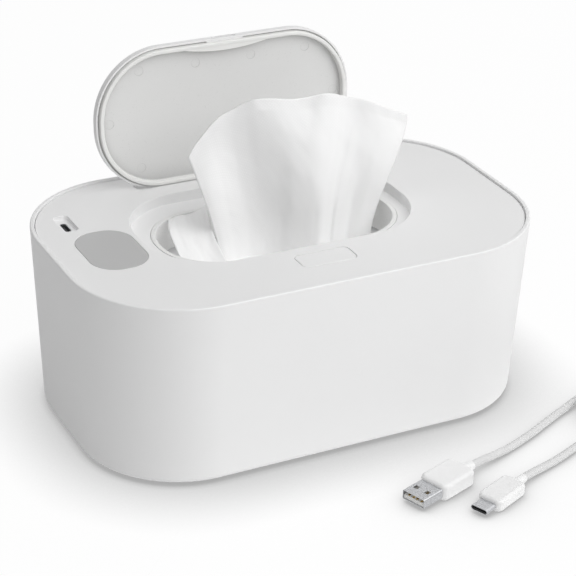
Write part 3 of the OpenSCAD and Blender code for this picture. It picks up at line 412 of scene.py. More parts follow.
def addBlock(name, low, high, bevel=0):
    clearAll()
    middle = [(a + b) / 2 * mm for a, b in zip(low, high)]
    bpy.ops.mesh.primitive_cube_add(size=1, location=middle, scale=[(b - a) * mm for a, b in zip(low, high)])
    piece = named(name)
    settle(piece)
    if bevel:
        bpy.ops.object.mode_set(mode="EDIT")
        bpy.ops.mesh.select_all(action="SELECT")
        bpy.ops.mesh.bevel(offset=bevel * mm, segments=2, affect="EDGES")
        bpy.ops.object.mode_set(mode="OBJECT")
    return piece


# a rod that stands up, or lies along X
def addRod(name, start, radius, length, direction="Z", sides=48):
    clearAll()
    turn = {"X": (0, math.pi / 2, 0), "Z": (0, 0, 0)}[direction]
    middle = [c * mm for c in start]
    middle["XYZ".index(direction)] += length / 2 * mm
    bpy.ops.mesh.primitive_cylinder_add(vertices=sides, radius=radius * mm, depth=length * mm,
                                        location=middle, rotation=turn)
    piece = named(name)
    settle(piece)
    return piece


# closes an outline to a face and pulls it into a solid
def pullSolid(name, outline, way):
    piece = drawEdges(name, outline)
    bpy.ops.mesh.select_all(action="SELECT")
    bpy.ops.mesh.edge_face_add()
    bpy.ops.mesh.extrude_region_move(TRANSFORM_OT_translate={"value": [c * mm for c in way]})
    return closeUp(piece)


# prism along X from a (y, z) outline
def addPrism(name, x, wide, outline):
    return pullSolid(name, [(x, y, z) for y, z in outline], (wide, 0, 0))


def carve(piece, tool, operation="DIFFERENCE"):
    choose(piece)
    cut = piece.modifiers.new("cut", "BOOLEAN")
    cut.operation = operation
    cut.solver = "EXACT"
    cut.object = tool
    bpy.ops.object.modifier_apply(modifier="cut")
    bpy.data.objects.remove(tool, do_unlink=True)


def joinTo(piece, others):
    choose(piece)
    for other in others:
        other.select_set(True)
    bpy.ops.object.join()


# flat faces stay flat and the small rounds between them shade smoothly
def smoothSkin(piece, angle=35):
    choose(piece)
    bpy.ops.object.shade_smooth_by_angle(angle=math.radians(angle))
    even = piece.modifiers.new("evenShade", "WEIGHTED_NORMAL")
    even.keep_sharp = True
    bpy.ops.object.modifier_apply(modifier="evenShade")


# outer shell: its sides lean in towards the foot, and ribs inside it carry the tub
shellSize = {
    "size": (220, 138), "height": 88, "corner": 50, "steps": 32, "draft": 4, "wall": 2, "underside": 1.2,
    "floor": 3.6, "floorRound": 1.4, "lipRound": 0.3, "edgeRound": 0.7, "footRound": (3.2, 3),
    "rib": {"places": (-42, 0, 42), "low": 54, "high": 70, "half": 1, "deep": 5, "bite": 0.6, "lean": 0.82,
            "bevel": 0.3},
}


def drawnIn(z):
    return shellSize["draft"] * (shellSize["height"] - z) / shellSize["height"]


# reach is how far the wall stands from the middle, on the side of the sign
def addRib(place, reach, side, alongX):
    r = shellSize["rib"]
    face = side * (reach - r["lean"] - shellSize["wall"])
    start, end = sorted((face - side * r["deep"], face + side * r["bite"]))
    near, far = place - r["half"], place + r["half"]
    if alongX:
        return addBlock("rib", (start, near, r["low"]), (end, far, r["high"]), r["bevel"])
    return addBlock("rib", (near, start, r["low"]), (far, end, r["high"]), r["bevel"])


def makeOuterShell():
    s = shellSize
    wall, top, low, floor = s["wall"], s["height"], s["underside"], s["floor"]
    soft, lip, edge = s["floorRound"], s["lipRound"], s["edgeRound"]
    (footIn, footUp), risen = s["footRound"], floor + soft
    section = roundOff((wall + drawnIn(floor) + soft, floor), (wall + drawnIn(risen), risen),
                       (wall + soft + drawnIn(risen), risen), 3)
    section += fromUpright((wall, top - lip), (wall - lip, top), 3)
    section += fromLevel((edge, top), (0, top - edge), 5)
    section += fromUpright((drawnIn(low + footUp), low + footUp), (drawnIn(low) + footIn, low), 7)
    shell = sweepRound("outerShell", s["size"], s["corner"], section, steps=s["steps"])
    ribs = [addRib(x, s["size"][1] / 2, side, False) for x in s["rib"]["places"] for side in (-1, 1)]
    ribs += [addRib(0, s["size"][0] / 2, side, True) for side in (-1, 1)]
    smoothSkin(shell)
    joinTo(shell, ribs)
    dress(shell, satinAbs, "base", ["outer_shell"])


makeOuterShell()
print("outer shell done")

# top cover: deck with its well, window seat, socket pocket, button opening and hinge bay;
# a block's last height counts from the deck where it is added to it or cut through it
coverSize = {
    "size": (220, 138), "corner": 50, "steps": 32, "deck": 87.1, "thick": 2.2, "gap": 2.341, "edge": 0.35,
    "skirt": 73.3, "skirtWall": (0.627, 2.627), "skirtFoot": (0.8, 2.4), "skirtRise": 0.2, "shelf": 82.0,
    "well": {"size": (129.2, 74.4), "corner": 32.8, "centre": (-2.8, 5.6)},
    "mouth": {"size": (117, 58), "corner": 28, "centre": (-1.6, 4)},
    "window": {"size": (26.3, 39.3), "corner": 12, "centre": (-83, -0.5)},
    "pocket": {"size": (7, 16), "corner": 1.6, "centre": (-91.8, 31.8)},
    "slot": {"size": (3.3, 9.1), "corner": 1.62, "centre": (-91.8, 31.8)},
    "button": {"size": (26.6, 12.6), "corner": 3.3, "centre": (-1.2, -44)},
    "trough": {"size": (92, 6.7), "corner": 3.2, "centre": (-2.8, 55.65)},
    "flares": {"well": 0.45, "window": 0.2, "pocket": 0.3, "button": 0.1, "trough": 0.3},
    "floors": {"window": -1.55, "pocket": -2, "button": 80, "trough": 84.6},
    "walls": [((-18.2, 36.5, 71.3), (12.6, 53.7, -0.65)), ((-18.2, 52.3, 75.6), (12.6, 60.4, -0.63)),
              ((-50.8, 50.3, 82.6), (45.2, 61, -0.61))],
    "latchWays": [((-8.7, -37.2, 79), (3.1, -32.8, 86.5)), ((-8.7, -33.4, 84.05), (3.1, -30.6, 86))],
    "hingeBay": [((-16.8, 37.9, 72.7), (11.2, 52.3, 1)), ((-16.8, 51.3, 77), (11.2, 59, 1))],
    "pinBore": {"start": (-18.5, 46.3, 76.2), "radius": 1.28, "long": 31.4},
}


# a cutter whose top flares out, so that what it cuts gets a rounded edge at the deck
def flaredCutter(opening, floor, steps):
    spot, flare, deck = coverSize[opening], coverSize["flares"][opening], coverSize["deck"]
    section = [(0, floor)] + fromUpright((0, deck - flare), (-flare, deck), 3) + [(-flare, deck + 3)]
    return sweepRound("cutter", spot["size"], spot["corner"], section, spot["centre"], steps)


def plainCutter(opening, low, high, grow=0, steps=20):
    spot = coverSize[opening]
    size = [side + 2 * grow for side in spot["size"]]
    return sweepRound("cutter", size, spot["corner"] + grow, [(0, low), (0, high)], spot["centre"], steps)


def makeTopCover():
    c = coverSize
    deck, under, gap, skirt, shelf = c["deck"], c["deck"] - c["thick"], c["gap"], c["skirt"], c["shelf"]
    (outside, inside), (footOut, footIn), rise = c["skirtWall"], c["skirtFoot"], c["skirtRise"]
    edge, floors, bore = c["edge"], c["floors"], c["pinBore"]
    section = [(gap + inside, under), (gap + inside, skirt + rise), (gap + footIn, skirt),
               (gap + footOut, skirt), (gap + outside, skirt + rise)]
    section += fromUpright((gap, deck - edge), (gap + edge, deck), 3)
    cover = sweepRound("topCover", c["size"], c["corner"], section, steps=c["steps"])
    carve(cover, plainCutter("well", shelf - 2, deck - 0.6, 2), "UNION")
    carve(cover, plainCutter("pocket", deck - 4, deck - 0.7, 2), "UNION")
    for low, (x, y, over) in c["walls"]:
        carve(cover, addBlock("wall", low, (x, y, deck + over)), "UNION")
    carve(cover, flaredCutter("well", shelf, 32))
    carve(cover, plainCutter("mouth", shelf - 4, shelf + 2, 0, 28))
    carve(cover, flaredCutter("window", deck + floors["window"], 24))
    carve(cover, plainCutter("window", deck - 6, deck - 1, -2))
    carve(cover, flaredCutter("pocket", deck + floors["pocket"], 10))
    carve(cover, plainCutter("slot", deck - 10, deck, 0, 12))
    carve(cover, flaredCutter("button", floors["button"], 12))
    for low, high in c["latchWays"]:
        carve(cover, addBlock("latchWay", low, high))
    for low, (x, y, over) in c["hingeBay"]:
        carve(cover, addBlock("bay", low, (x, y, deck + over)))
    carve(cover, flaredCutter("trough", floors["trough"], 12))
    carve(cover, addRod("pinBore", bore["start"], bore["radius"], bore["long"], "X"))
    smoothSkin(cover)
    dress(cover, satinAbs, "cover", ["top_cover"])


makeTopCover()
print("top cover done")

ringSize = {
    "size": (116.6, 57.6), "corner": 27.8, "centre": (-1.6, 4), "steps": 32, "foot": 66.8, "lip": 82.3,
    "wall": 2.2, "flange": (3, 78.2, 79.9), "outerRound": 0.3, "innerRound": 0.5,
}


def makeWellRing():
    r = ringSize
    wall, foot, lip, (wide, low, high) = r["wall"], r["foot"], r["lip"], r["flange"]
    outer, inner = r["outerRound"], r["innerRound"]
    section = [(wall, foot), (0, foot), (0, low), (-wide, low), (-wide, high), (0, high)]
    section += fromUpright((0, lip - outer), (outer, lip), 3)
    section += fromLevel((wall - inner, lip), (wall, lip - inner))
    ring = sweepRound("wellRing", r["size"], r["corner"], section, r["centre"], r["steps"], loop=True)
    smoothSkin(ring)
    dress(ring, ringAbs, "cover", ["well_ring"])


makeWellRing()

windowSize = {"size": (26, 39), "corner": 11.8, "centre": (-83, -0.5), "steps": 28, "thick": 1.5, "edge": 0.2}


def makeTouchWindow():
    w, deck, edge = windowSize, coverSize["deck"], windowSize["edge"]
    section = [(0, deck - w["thick"])] + fromUpright((0, deck - edge), (edge, deck), 3)
    window = sweepRound("touchWindow", w["size"], w["corner"], section, w["centre"], w["steps"])
    smoothSkin(window)
    dress(window, greyPolycarbonate, "cover", ["touch_window"])


makeTouchWindow()

# button: two stepped tabs hold it under the deck, and the wedge pushes the slider;
# a tab is (distance out, half width, foot and head from the button's underside)
buttonSize = {
    "size": (26, 12), "corner": 3, "centre": (-1.2, -44), "steps": 12, "thick": 2, "edge": 0.25, "foot": 0.2,
    "tabs": [(12.3, 0.7, -1.2, 0.5), (13.2, 1.1, -1.19, -0.4)], "tabSpan": (-1.8, 3),
    "wedge": {"x": -7, "wide": 8.4, "bite": 0.5, "ramp": [(-49, 83.5), (-45.3, 79.8), (-44, 79.8)]},
}


def makeLatchButton():
    b, deck, edge, wedge = buttonSize, coverSize["deck"], buttonSize["edge"], buttonSize["wedge"]
    under = deck - b["thick"]
    section = [(b["foot"], under)] + fromUpright((0, deck - edge), (edge, deck), 3)
    button = sweepRound("latchButton", b["size"], b["corner"], section, b["centre"], b["steps"])
    (x, y), (front, back) = b["centre"], b["tabSpan"]
    for side in (-1, 1):
        for out, half, foot, head in b["tabs"]:
            middle = x + side * out
            carve(button, addBlock("tab", (middle - half, y + front, under + foot),
                                   (middle + half, y + back, under + head)), "UNION")
    ramp, top = wedge["ramp"], under + wedge["bite"]
    outline = [(ramp[0][0], top)] + ramp + [(ramp[-1][0], top)]
    carve(button, addPrism("wedge", wedge["x"], wedge["wide"], outline), "UNION")
    smoothSkin(button)
    dress(button, satinAbs, "button", ["latch_button"])


makeLatchButton()

# lid: built closed, then turned about its pin to the open rest
lidSize = {
    "size": (128.4, 68), "corner": 32.4, "centre": (-2.8, 2.8), "steps": 36, "pin": (46.3, 76.2), "open": 93,
    "lip": 83.6, "lipWide": 0.9, "lipRound": 0.2, "top": 87.7, "topRound": 1, "roof": 86.2, "roofRound": 0.5,
    "trim": {"radius": 12.62, "long": 92}, "catch": ((-9, -30.9), (9, -29.7)),
    "catchWindow": ((-5.9, -32.2), (5.9, -28.2, 85.95)), "bore": {"radius": 1.3, "long": 40},
    "arm": {"out": 9.7, "wide": 7, "knuckle": 3.1,
            "outline": [(36, 84), (37.6, 84), (43.9, 74.4), (49, 78.3), (38.6, 87), (36, 87)]},
    "web": {"wide": 24.4,
            "outline": [(36, 85.2), (38.1, 85.2), (42.9, 81.2), (44, 82.4), (38.6, 87), (36, 87)]},
    "liner": 85.0, "face": 85.4, "faceIn": 0.5, "linerGap": 0.1,
    "marks": [(x, y) for x in (-42, -14, 14, 42) for y in (-23.3, 23.3)] + [(-57, 0), (57, 0)],
    "mark": {"radius": 2.2, "deep": 0.12},
    "sealIn": 1.6, "sealWide": 1.9, "sealTip": 82.1, "sealOuter": 0.4, "sealInner": 0.7,
    "swelling": {"radius": 101, "half": 12, "out": 2, "back": 0.15},
}


def standOpen(piece):
    y, z = lidSize["pin"]
    pin = Matrix.Translation((0, y * mm, z * mm))
    piece.matrix_world = pin @ Matrix.Rotation(math.radians(-lidSize["open"]), 4, "X") @ pin.inverted()
    settle(piece)


def makeLidShell():
    s = lidSize
    lip, top, roof, wide = s["lip"], s["top"], s["roof"], s["lipWide"]
    soft, inner, outer, arm = s["lipRound"], s["roofRound"], s["topRound"], s["arm"]
    x, (pinY, pinZ) = s["centre"][0], s["pin"]
    section = fromLevel((wide + inner, roof), (wide, roof - inner), 3)
    section += fromUpright((wide, lip + soft), (wide - soft, lip), 2)
    section += fromLevel((soft, lip), (0, lip + soft), 2)
    section += fromUpright((0, top - outer), (outer, top), 5)
    shell = sweepRound("lidShell", s["size"], s["corner"], section, s["centre"], s["steps"])
    trim, bore = s["trim"], s["bore"]
    carve(shell, addRod("trim", (x - trim["long"] / 2, pinY, pinZ), trim["radius"], trim["long"], "X", 96))
    (left, front), (right, back) = s["catch"]
    carve(shell, addBlock("catch", (x + left, front, lip), (x + right, back, roof + 0.5)), "UNION")
    for side in (-1, 1):
        start = x + side * arm["out"] - arm["wide"] / 2
        carve(shell, addPrism("arm", start, arm["wide"], arm["outline"]), "UNION")
        carve(shell, addRod("knuckle", (start, pinY, pinZ), arm["knuckle"], arm["wide"], "X", 40), "UNION")
    web = s["web"]
    carve(shell, addPrism("web", x - web["wide"] / 2, web["wide"], web["outline"]), "UNION")
    (left, front), (right, back, high) = s["catchWindow"]
    carve(shell, addBlock("window", (x + left, front, lip + 0.5), (x + right, back, high)))
    carve(shell, addRod("bore", (x - bore["long"] / 2, pinY, pinZ), bore["radius"], bore["long"], "X", 32))
    smoothSkin(shell)
    standOpen(shell)
    dress(shell, satinAbs, "lid", ["lid_shell"])


# inner panel of the lid, with the shallow round marks of its welds
def makeLidLiner():
    s = lidSize
    gap, root, face, soft, mark = s["linerGap"], s["liner"], s["face"], s["faceIn"], s["mark"]
    edge, inside = s["lipWide"] + gap, s["sealIn"] + s["sealWide"]
    section = [(edge, s["roof"] - gap), (edge, root), (inside - gap, root)]
    section += fromUpright((inside - gap, root), (inside + soft, face), 3)
    liner = sweepRound("lidLiner", s["size"], s["corner"], section, s["centre"], s["steps"])
    for x, y in s["marks"]:
        start = (s["centre"][0] + x, s["centre"][1] + y, face - 1)
        carve(liner, addRod("mark", start, mark["radius"], 1 + mark["deep"]))
    smoothSkin(liner)
    standOpen(liner)
    dress(liner, polishedAbs, "lid", ["lid_liner"])


# the seal swells inwards behind the catch, as a shallow arc
def catchSwelling(low, high):
    s, swelling = lidSize, lidSize["swelling"]
    (x, y), far, half = s["centre"], swelling["radius"], swelling["half"]
    hub = y - s["size"][1] / 2 + s["sealIn"] + s["sealWide"] + swelling["out"] - far
    turns = [math.radians(a) for a in range(-half, half + 1)]
    arc = [(x + far * math.sin(turn), hub + far * math.cos(turn), low) for turn in turns]
    return pullSolid("swelling", arc, (0, 0, high - low))


def makeLidSeal():
    s = lidSize
    outer, inner, tip, root = s["sealIn"], s["sealIn"] + s["sealWide"], s["sealTip"], s["liner"]
    out, deep = s["sealOuter"], s["sealInner"]
    section = [(outer, root)] + fromUpright((outer, tip + out), (outer + out, tip), 3)
    section += fromLevel((inner - deep, tip), (inner, tip + deep)) + [(inner, root)]
    seal = sweepRound("lidSeal", s["size"], s["corner"], section, s["centre"], s["steps"], loop=True)
    carve(seal, catchSwelling(tip + s["swelling"]["back"], root), "UNION")
    smoothSkin(seal)
    standOpen(seal)
    dress(seal, softSilicone, "lid", ["lid_seal"])


makeLidShell()
makeLidLiner()
makeLidSeal()
print("lid done")

# tub, inner cover and heating plate show when the cover is lifted off
insideSize = {
    "size": (220, 138), "corner": 50, "steps": 28, "tubStart": (15, 10),
    "tubFoot": ((14, 10), (13, 14)), "tubHollow": ((14.55, 15), (18, 11.6)),
    "tubFlange": [(10, 68), (10, 68.1), (3.03, 68.1), (3.03, 70), (11.6, 70), (11.6, 69.9)],
    "dish": [(14.2, 70.0), (14.2, 75.1), (5.3, 75.1), (5.3, 73.5), (12.6, 73.5), (12.6, 69.4), (13.6, 68.4)],
    "plate": {"size": (168, 94), "corner": 34, "high": 68.0, "low": 66.8, "steps": 20},
    "mouthCut": (60, 80), "dishGap": 0.2, "plateGap": 0.3,
}


def makeInside():
    i, plateSize = insideSize, insideSize["plate"]
    section = [i["tubStart"]] + fromLevel(*i["tubFoot"]) + i["tubFlange"] + fromUpright(*i["tubHollow"], 5)
    tub = sweepRound("innerTub", i["size"], i["corner"], section, steps=i["steps"])
    smoothSkin(tub)
    dress(tub, waxyPolypropylene, "base", ["inner_tub"])
    dish = sweepRound("innerCover", i["size"], i["corner"], i["dish"], steps=i["steps"])
    carve(dish, plainCutter("mouth", *i["mouthCut"], i["dishGap"], i["steps"]))
    smoothSkin(dish)
    dress(dish, waxyPolypropylene, "cover", ["inner_cover"])
    section = [(0, plateSize["high"]), (0, plateSize["low"])]
    plate = sweepRound("heatingPlate", plateSize["size"], plateSize["corner"], section,
                       steps=plateSize["steps"])
    carve(plate, plainCutter("mouth", *i["mouthCut"], i["plateGap"], i["steps"]))
    smoothSkin(plate)
    dress(plate, rolledAluminium, "cover", ["heating_plate"])


makeInside()

# stack of folded wipes: each leaf has a soft rolled edge and lies a little off the one below
stackSize = {
    "size": (167.2, 93.2), "corner": 12, "steps": 8, "low": 11.8, "high": 52.2, "leaves": 12, "gap": 0.05,
    "edge": [(1.6, 0), (0, 1.2), (0.05, 2.2), (0.3, 3.4)], "back": 1.4,
    "stray": (0.35, 0.3), "turn": (2.1, 1.7),
}


def makeWipeStack():
    s, made = stackSize, []
    thick = s["high"] / s["leaves"]
    for k in range(s["leaves"]):
        z = s["low"] + k * thick
        section = [(inset, z + up) for inset, up in s["edge"]] + [(s["back"], z + thick - s["gap"])]
        shift = (s["stray"][0] * math.sin(s["turn"][0] * k), s["stray"][1] * math.cos(s["turn"][1] * k))
        made.append(sweepRound("leaf", s["size"], s["corner"], section, shift, s["steps"]))
    stack = made[0]
    joinTo(stack, made[1:])
    stack.name = "wipeStack"
    smoothSkin(stack, 60)
    dress(stack, spunlacedWipe, "base", ["wipe_stack"])


makeWipeStack()
print("inside done")

# wipe: an outline in one upright plane, pushed along a slant into its folds
wipeShape = {
    "slant": (0.52, 1.0, -0.58), "plane": 5, "low": 66, "foot": (-28, 76.5), "head": (-45, 110),
    "top": [(-45, 122), (-42, 127), (-37, 132.5), (-33, 136.5), (-29, 139.3), (-24, 141), (-18, 143),
            (-12, 143.5), (-3, 142.2), (4, 140.8), (12, 140.3), (19, 140.7), (25, 140.2), (31, 138.6),
            (42, 135), (54, 129.3), (65, 124.5)],
    "folds": [
        (0.27, [(0, 4.7), (0.03, 4.6), (0.06, 5.3), (0.1, 6.3), (0.18, 7), (0.24, 6.3), (0.3, 4.9), (0.38, 2),
                (0.46, -2), (0.54, -5), (0.6, -7), (0.65, -7.8), (0.69, -5.4), (0.715, -3.4), (0.74, -4),
                (0.79, -3), (0.83, -1.8), (0.87, -2.7), (0.91, -3.5), (0.95, -2.6), (1, -0.9)]),
        (0.62, [(0, 4.3), (0.03, 4), (0.06, 4.6), (0.1, 6.3), (0.14, 7.6), (0.18, 8), (0.24, 6.5), (0.3, 3.6),
                (0.38, -0.3), (0.46, -4), (0.54, -6.3), (0.6, -6.9), (0.65, -5.4), (0.69, -3), (0.72, -1.3),
                (0.75, -1.1), (0.79, -0.7), (0.85, -1.8), (0.9, -2.9), (0.95, -2.9), (1, -0.9)]),
        (0.93, [(0, 5.6), (0.06, 4.8), (0.1, 4.5), (0.18, 3.2), (0.24, 0.9), (0.3, -1.9), (0.38, -3.5),
                (0.46, -3.3), (0.54, -3.1), (0.6, -3.8), (0.65, -2.8), (0.69, -0.7), (0.72, 0.5), (0.75, 1),
                (0.81, 0.5), (0.87, 0.7), (0.95, 1.3), (1, 2.3)]),
    ],
    "creases": 0.4, "wrinkles": 0.12, "footCalm": 0.4, "across": 150, "up": 110, "thick": 0.4,
}


# value of a curve through (place, value) pairs, without corners
def valueAt(pairs, place):
    k = 0
    while k < len(pairs) - 2 and pairs[k + 1][0] < place:
        k += 1
    (x0, y0), (x1, y1) = pairs[k], pairs[k + 1]
    before = pairs[k - 1] if k else (2 * x0 - x1, 2 * y0 - y1)
    after = pairs[k + 2] if k + 2 < len(pairs) else (2 * x1 - x0, 2 * y1 - y0)
    slope0 = (y1 - before[1]) / (x1 - before[0])
    slope1 = (after[1] - y0) / (after[0] - x0)
    wide = x1 - x0
    t = max(0, min(1, (place - x0) / wide))
    return (y0 * (1 + 2 * t) * (1 - t) ** 2 + slope0 * wide * t * (1 - t) ** 2
            + y1 * t * t * (3 - 2 * t) + slope1 * wide * t * t * (t - 1))


# how far the folds lie behind the sheet's plane, from three rows up the sheet
def foldDepth(u, v):
    return valueAt([(row, valueAt(depths, u)) for row, depths in wipeShape["folds"]], v)


# broad creases with fine wrinkles on them
def crumple(shape, broad, fine):
    return shape["creases"] * noise.noise(broad) + shape["wrinkles"] * noise.noise(fine)


# u runs to the right and v up; the left edge leans out evenly and the right edge swings out
def wipeSpot(u, v):
    w = wipeShape
    xLow, xTop = w["foot"][0] + w["foot"][1] * u, w["head"][0] + w["head"][1] * u
    share = (1 - u) * v ** 1.3 + u * v * v * (3 - 2 * v)
    zLow = w["low"] - w["slant"][2] * min(0, foldDepth(u, 0))
    z = zLow + (valueAt(w["top"], xTop) - zLow) * v
    wrinkle = crumple(w, (u * 9 + v * 4, v * 5, 1.7), (u * 24 + v * 9, v * 9, 5.1))
    depth = foldDepth(u, v) + wrinkle * (w["footCalm"] + (1 - w["footCalm"]) * v)
    return Vector((xLow + (xTop - xLow) * share, w["plane"], z)) + Vector(w["slant"]) * depth


def gridSheet(name, shape, spotAt):
    clearAll()
    bpy.ops.mesh.primitive_grid_add(x_subdivisions=shape["across"], y_subdivisions=shape["up"], size=1,
                                    location=(0, 0, 0))
    sheet = named(name)
    for vertex in sheet.data.vertices:
        vertex.co = spotAt(vertex.co.x + 0.5, vertex.co.y + 0.5) * mm
    thicken = sheet.modifiers.new("thicken", "SOLIDIFY")
    thicken.thickness = shape["thick"] * mm
    thicken.offset = 0
    bpy.ops.object.modifier_apply(modifier="thicken")
    bpy.ops.object.shade_smooth()
    return sheet


popUpWipe = gridSheet("popUpWipe", wipeShape, wipeSpot)
dress(popUpWipe, spunlacedWipe, "cover", ["pop_up_wipe"])
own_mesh(popUpWipe)

# the next wipe is drawn up in the mouth's left end until it rests on the back of the ring
nextShape = {
    "left": -50.5, "leftDraw": 5.7, "right": -31, "rightBulge": 1, "rightDraw": 7, "front": -12, "back": 30.2,
    "backRound": 4.4, "low": 70, "rise": 12, "roll": 0.8, "curl": 9, "curlFrom": 0.45,
    "creases": 0.5, "wrinkles": 0.12, "across": 30, "up": 40, "thick": 0.4,
}


def nextSpot(u, v):
    n = nextShape
    left = n["left"] + n["leftDraw"] * v ** 4
    right = n["right"] - n["rightBulge"] * math.sin(math.pi * v) + n["rightDraw"] * v * v
    back = n["back"] - n["backRound"] * (1 - u) ** 2
    z = (n["low"] + n["rise"] * math.sin(math.pi / 2 * v) ** 0.9 + n["roll"] * math.cos(math.pi * u)
         + n["curl"] * max(0, u - n["curlFrom"]) ** 2)
    ripple = crumple(n, (u * 4, v * 2.5, 2), (u * 12, v * 9, 7))
    return Vector((left + (right - left) * u, n["front"] + (back - n["front"]) * v, z + ripple))


nextWipe = gridSheet("nextWipe", nextShape, nextSpot)
dress(nextWipe, spunlacedWipe, "cover", ["next_wipe"])
print("wipes done")

# plugs: built with the tip at the origin and the grip along +X, then laid on the table;
# a relief is the cone where the lead leaves the grip, as its two radii
plugA = {"tip": (5.9, -116.5), "turn": 19.5, "height": 4.05, "shell": (12, 4.5, 12), "shellCorner": 0.7,
         "windows": {"out": 3, "half": 1.1, "start": 4.4, "end": 6.8}, "grip": (21, 15, 8), "edge": 1.8,
         "relief": (2.6, 2.1)}
plugC = {"tip": (28, -133.6), "turn": 23.5, "height": 3.05, "shell": (8.34, 2.56, 6.65), "shellCorner": 1.27,
         "grip": (21, 12, 6), "edge": 1.5, "relief": (2.4, 1.9)}
plugMake = {"wall": 0.3, "outerChamfer": 0.1, "innerChamfer": 0.08, "gripCorner": 3, "reliefLong": 6.5,
            "reliefBite": 0.5}
alongX = Matrix(((0, 0, 1, 0), (1, 0, 0, 0), (0, 1, 0, 0), (0, 0, 0, 1)))


def layDown(piece, plug, fromUpright=False):
    place = Matrix.Translation((plug["tip"][0] * mm, plug["tip"][1] * mm, plug["height"] * mm))
    turn = place @ Matrix.Rotation(math.radians(plug["turn"]), 4, "Z")
    piece.matrix_world = turn @ alongX if fromUpright else turn
    settle(piece)


def makeGrip(name, plug, node):
    start, (long, wide, tall), reliefLong = plug["shell"][2], plug["grip"], plugMake["reliefLong"]
    edge, half = plug["edge"], tall / 2
    section = fromLevel((edge, -half), (0, -half + edge), 5) + fromUpright((0, half - edge), (edge, half), 5)
    grip = sweepRound(name, (long, wide), plugMake["gripCorner"], section, (start + long / 2, 0), 10)
    clearAll()
    middle = start + long + reliefLong / 2 - plugMake["reliefBite"]
    bpy.ops.mesh.primitive_cone_add(vertices=40, radius1=plug["relief"][0] * mm, radius2=plug["relief"][1] * mm,
                                    depth=reliefLong * mm, location=(middle * mm, 0, 0),
                                    rotation=(0, math.pi / 2, 0))
    relief = bpy.context.object
    settle(relief)
    carve(grip, relief, "UNION")
    smoothSkin(grip)
    layDown(grip, plug)
    dress(grip, leadElastomer, "base", [node])
    return grip


def makeShellTube(name, plug, node):
    (wide, tall, long), wall = plug["shell"], plugMake["wall"]
    outer, inner = plugMake["outerChamfer"], plugMake["innerChamfer"]
    section = [(0, long), (0, outer), (outer, 0), (wall - inner, 0), (wall, inner), (wall, long)]
    tube = sweepRound(name, (wide, tall), plug["shellCorner"], section, steps=8, loop=True)
    if "windows" in plug:
        w = plug["windows"]
        for side in (-w["out"], w["out"]):
            carve(tube, addBlock("window", (side - w["half"], -3, w["start"]), (side + w["half"], 3, w["end"])))
    smoothSkin(tube)
    layDown(tube, plug, True)
    dress(tube, platedSteel, "base", [node])
    return tube


usbAShell = makeShellTube("usbAShell", plugA, "usb_a_shell")
usbCShell = makeShellTube("usbCShell", plugC, "usb_c_shell")
usbAGrip = makeGrip("usbAGrip", plugA, "usb_a_grip")
usbCGrip = makeGrip("usbCGrip", plugC, "usb_c_grip")

tongueSize = {
    "low": (0.6, -5.6, -1.9), "high": (11.9, 5.6, 0), "bevel": 0.12,
    "grooves": (-3.5, -1, 1, 3.5), "grooveHalf": 0.5, "grooveDeep": 0.2, "grooveEnd": 9,
}


def makeTongue():
    t = tongueSize
    tongue = addBlock("usbATongue", t["low"], t["high"], t["bevel"])
    for y in t["grooves"]:
        carve(tongue, addBlock("groove", (0.4, y - t["grooveHalf"], -t["grooveDeep"]),
                               (t["grooveEnd"], y + t["grooveHalf"], 1)))
    smoothSkin(tongue)
    layDown(tongue, plugA)
    dress(tongue, whiteNylon, "base", ["usb_a_tongue"])
    return tongue


usbATongue = makeTongue()
print("plugs done")

# tie: a soft band round the right side of the coil
tieSize = {"thick": 0.9, "soft": 0.3, "wide": 6, "slackWide": 2.4, "slackTall": 0.8, "corner": 1.2}


def makeTie():
    t, w = tieSize, leadWay
    thick, soft, band, half = t["thick"], t["soft"], t["wide"], w["pitch"] / 2
    wide = w["pitch"] * w["turns"] + half + w["thick"] + t["slackWide"]
    tall = w["coilRise"] + w["thick"] + t["slackTall"]
    section = [(-thick, soft), (soft - thick, 0), (-soft, 0), (0, soft), (0, band - soft), (-soft, band),
               (soft - thick, band), (-thick, band - soft)]
    tie = sweepRound("cordTie", (wide, tall), t["corner"], section, steps=8, loop=True)
    smoothSkin(tie)
    x, y = w["coilCentre"]
    middle = (2 * w["innerTurn"] + w["pitch"] * w["turns"] + half) / 2
    stand = Matrix(((1, 0, 0, 0), (0, 0, -1, 0), (0, 1, 0, 0), (0, 0, 0, 1)))
    spot = (x + middle, y + band / 2, w["coilLow"] + w["coilRise"] / 2)
    tie.matrix_world = Matrix.Translation([c * mm for c in spot]) @ stand
    settle(tie)
    dress(tie, tieRubber, "base", ["cord_tie"])
    return tie


cordTie = makeTie()
# the lead wears the jacket whose grey is painted shade
dress(lead, leadJacketPaintedShade, "base", ["cord_to_usb_a", "cord_coil", "cord_to_usb_c"])

# what keeps its own mesh gets its real finish
finishes = {
    "insulation_cup": foamBoard, "rubber_feet": footRubber, "tub_gasket": softSilicone,
    "heater_film": polyimideFilm, "thermistor": sensorGlaze, "thermal_fuse": platedSteel,
    "control_board": boardLacquer, "light_baffle": blackNylon, "usb_board": boardLacquer,
    "usb_c_socket": platedSteel, "socket_tongue": blackNylon, "heater_leads": redInsulation,
    "cover_screws": springSteel, "board_screws": springSteel, "hinge_pin": springSteel,
    "lid_spring": springSteel, "latch_spring": springSteel, "latch_slider": waxyPolypropylene,
    "usb_a_contacts": goldPlate, "usb_c_contacts": blackNylon,
}
for nodeName, finish in finishes.items():
    dress(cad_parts[nodeName], finish)

# table: seen directly it glows nearly white, and the glow carries painted shade where things stand on it, with
# a little real shade under it;
# shade and line are the wide painted shade and the narrow painted contact line, as reach, span of openness and
# darkest share
tableLook = {
    "size": 24, "white": 0.95, "colour": (0.96, 0.96, 0.96, 1), "rough": 0.35, "shine": 0.3,
    "shade": (38, (0.35, 1), 0.52), "line": (5, (0.3, 0.85), 0.76),
}


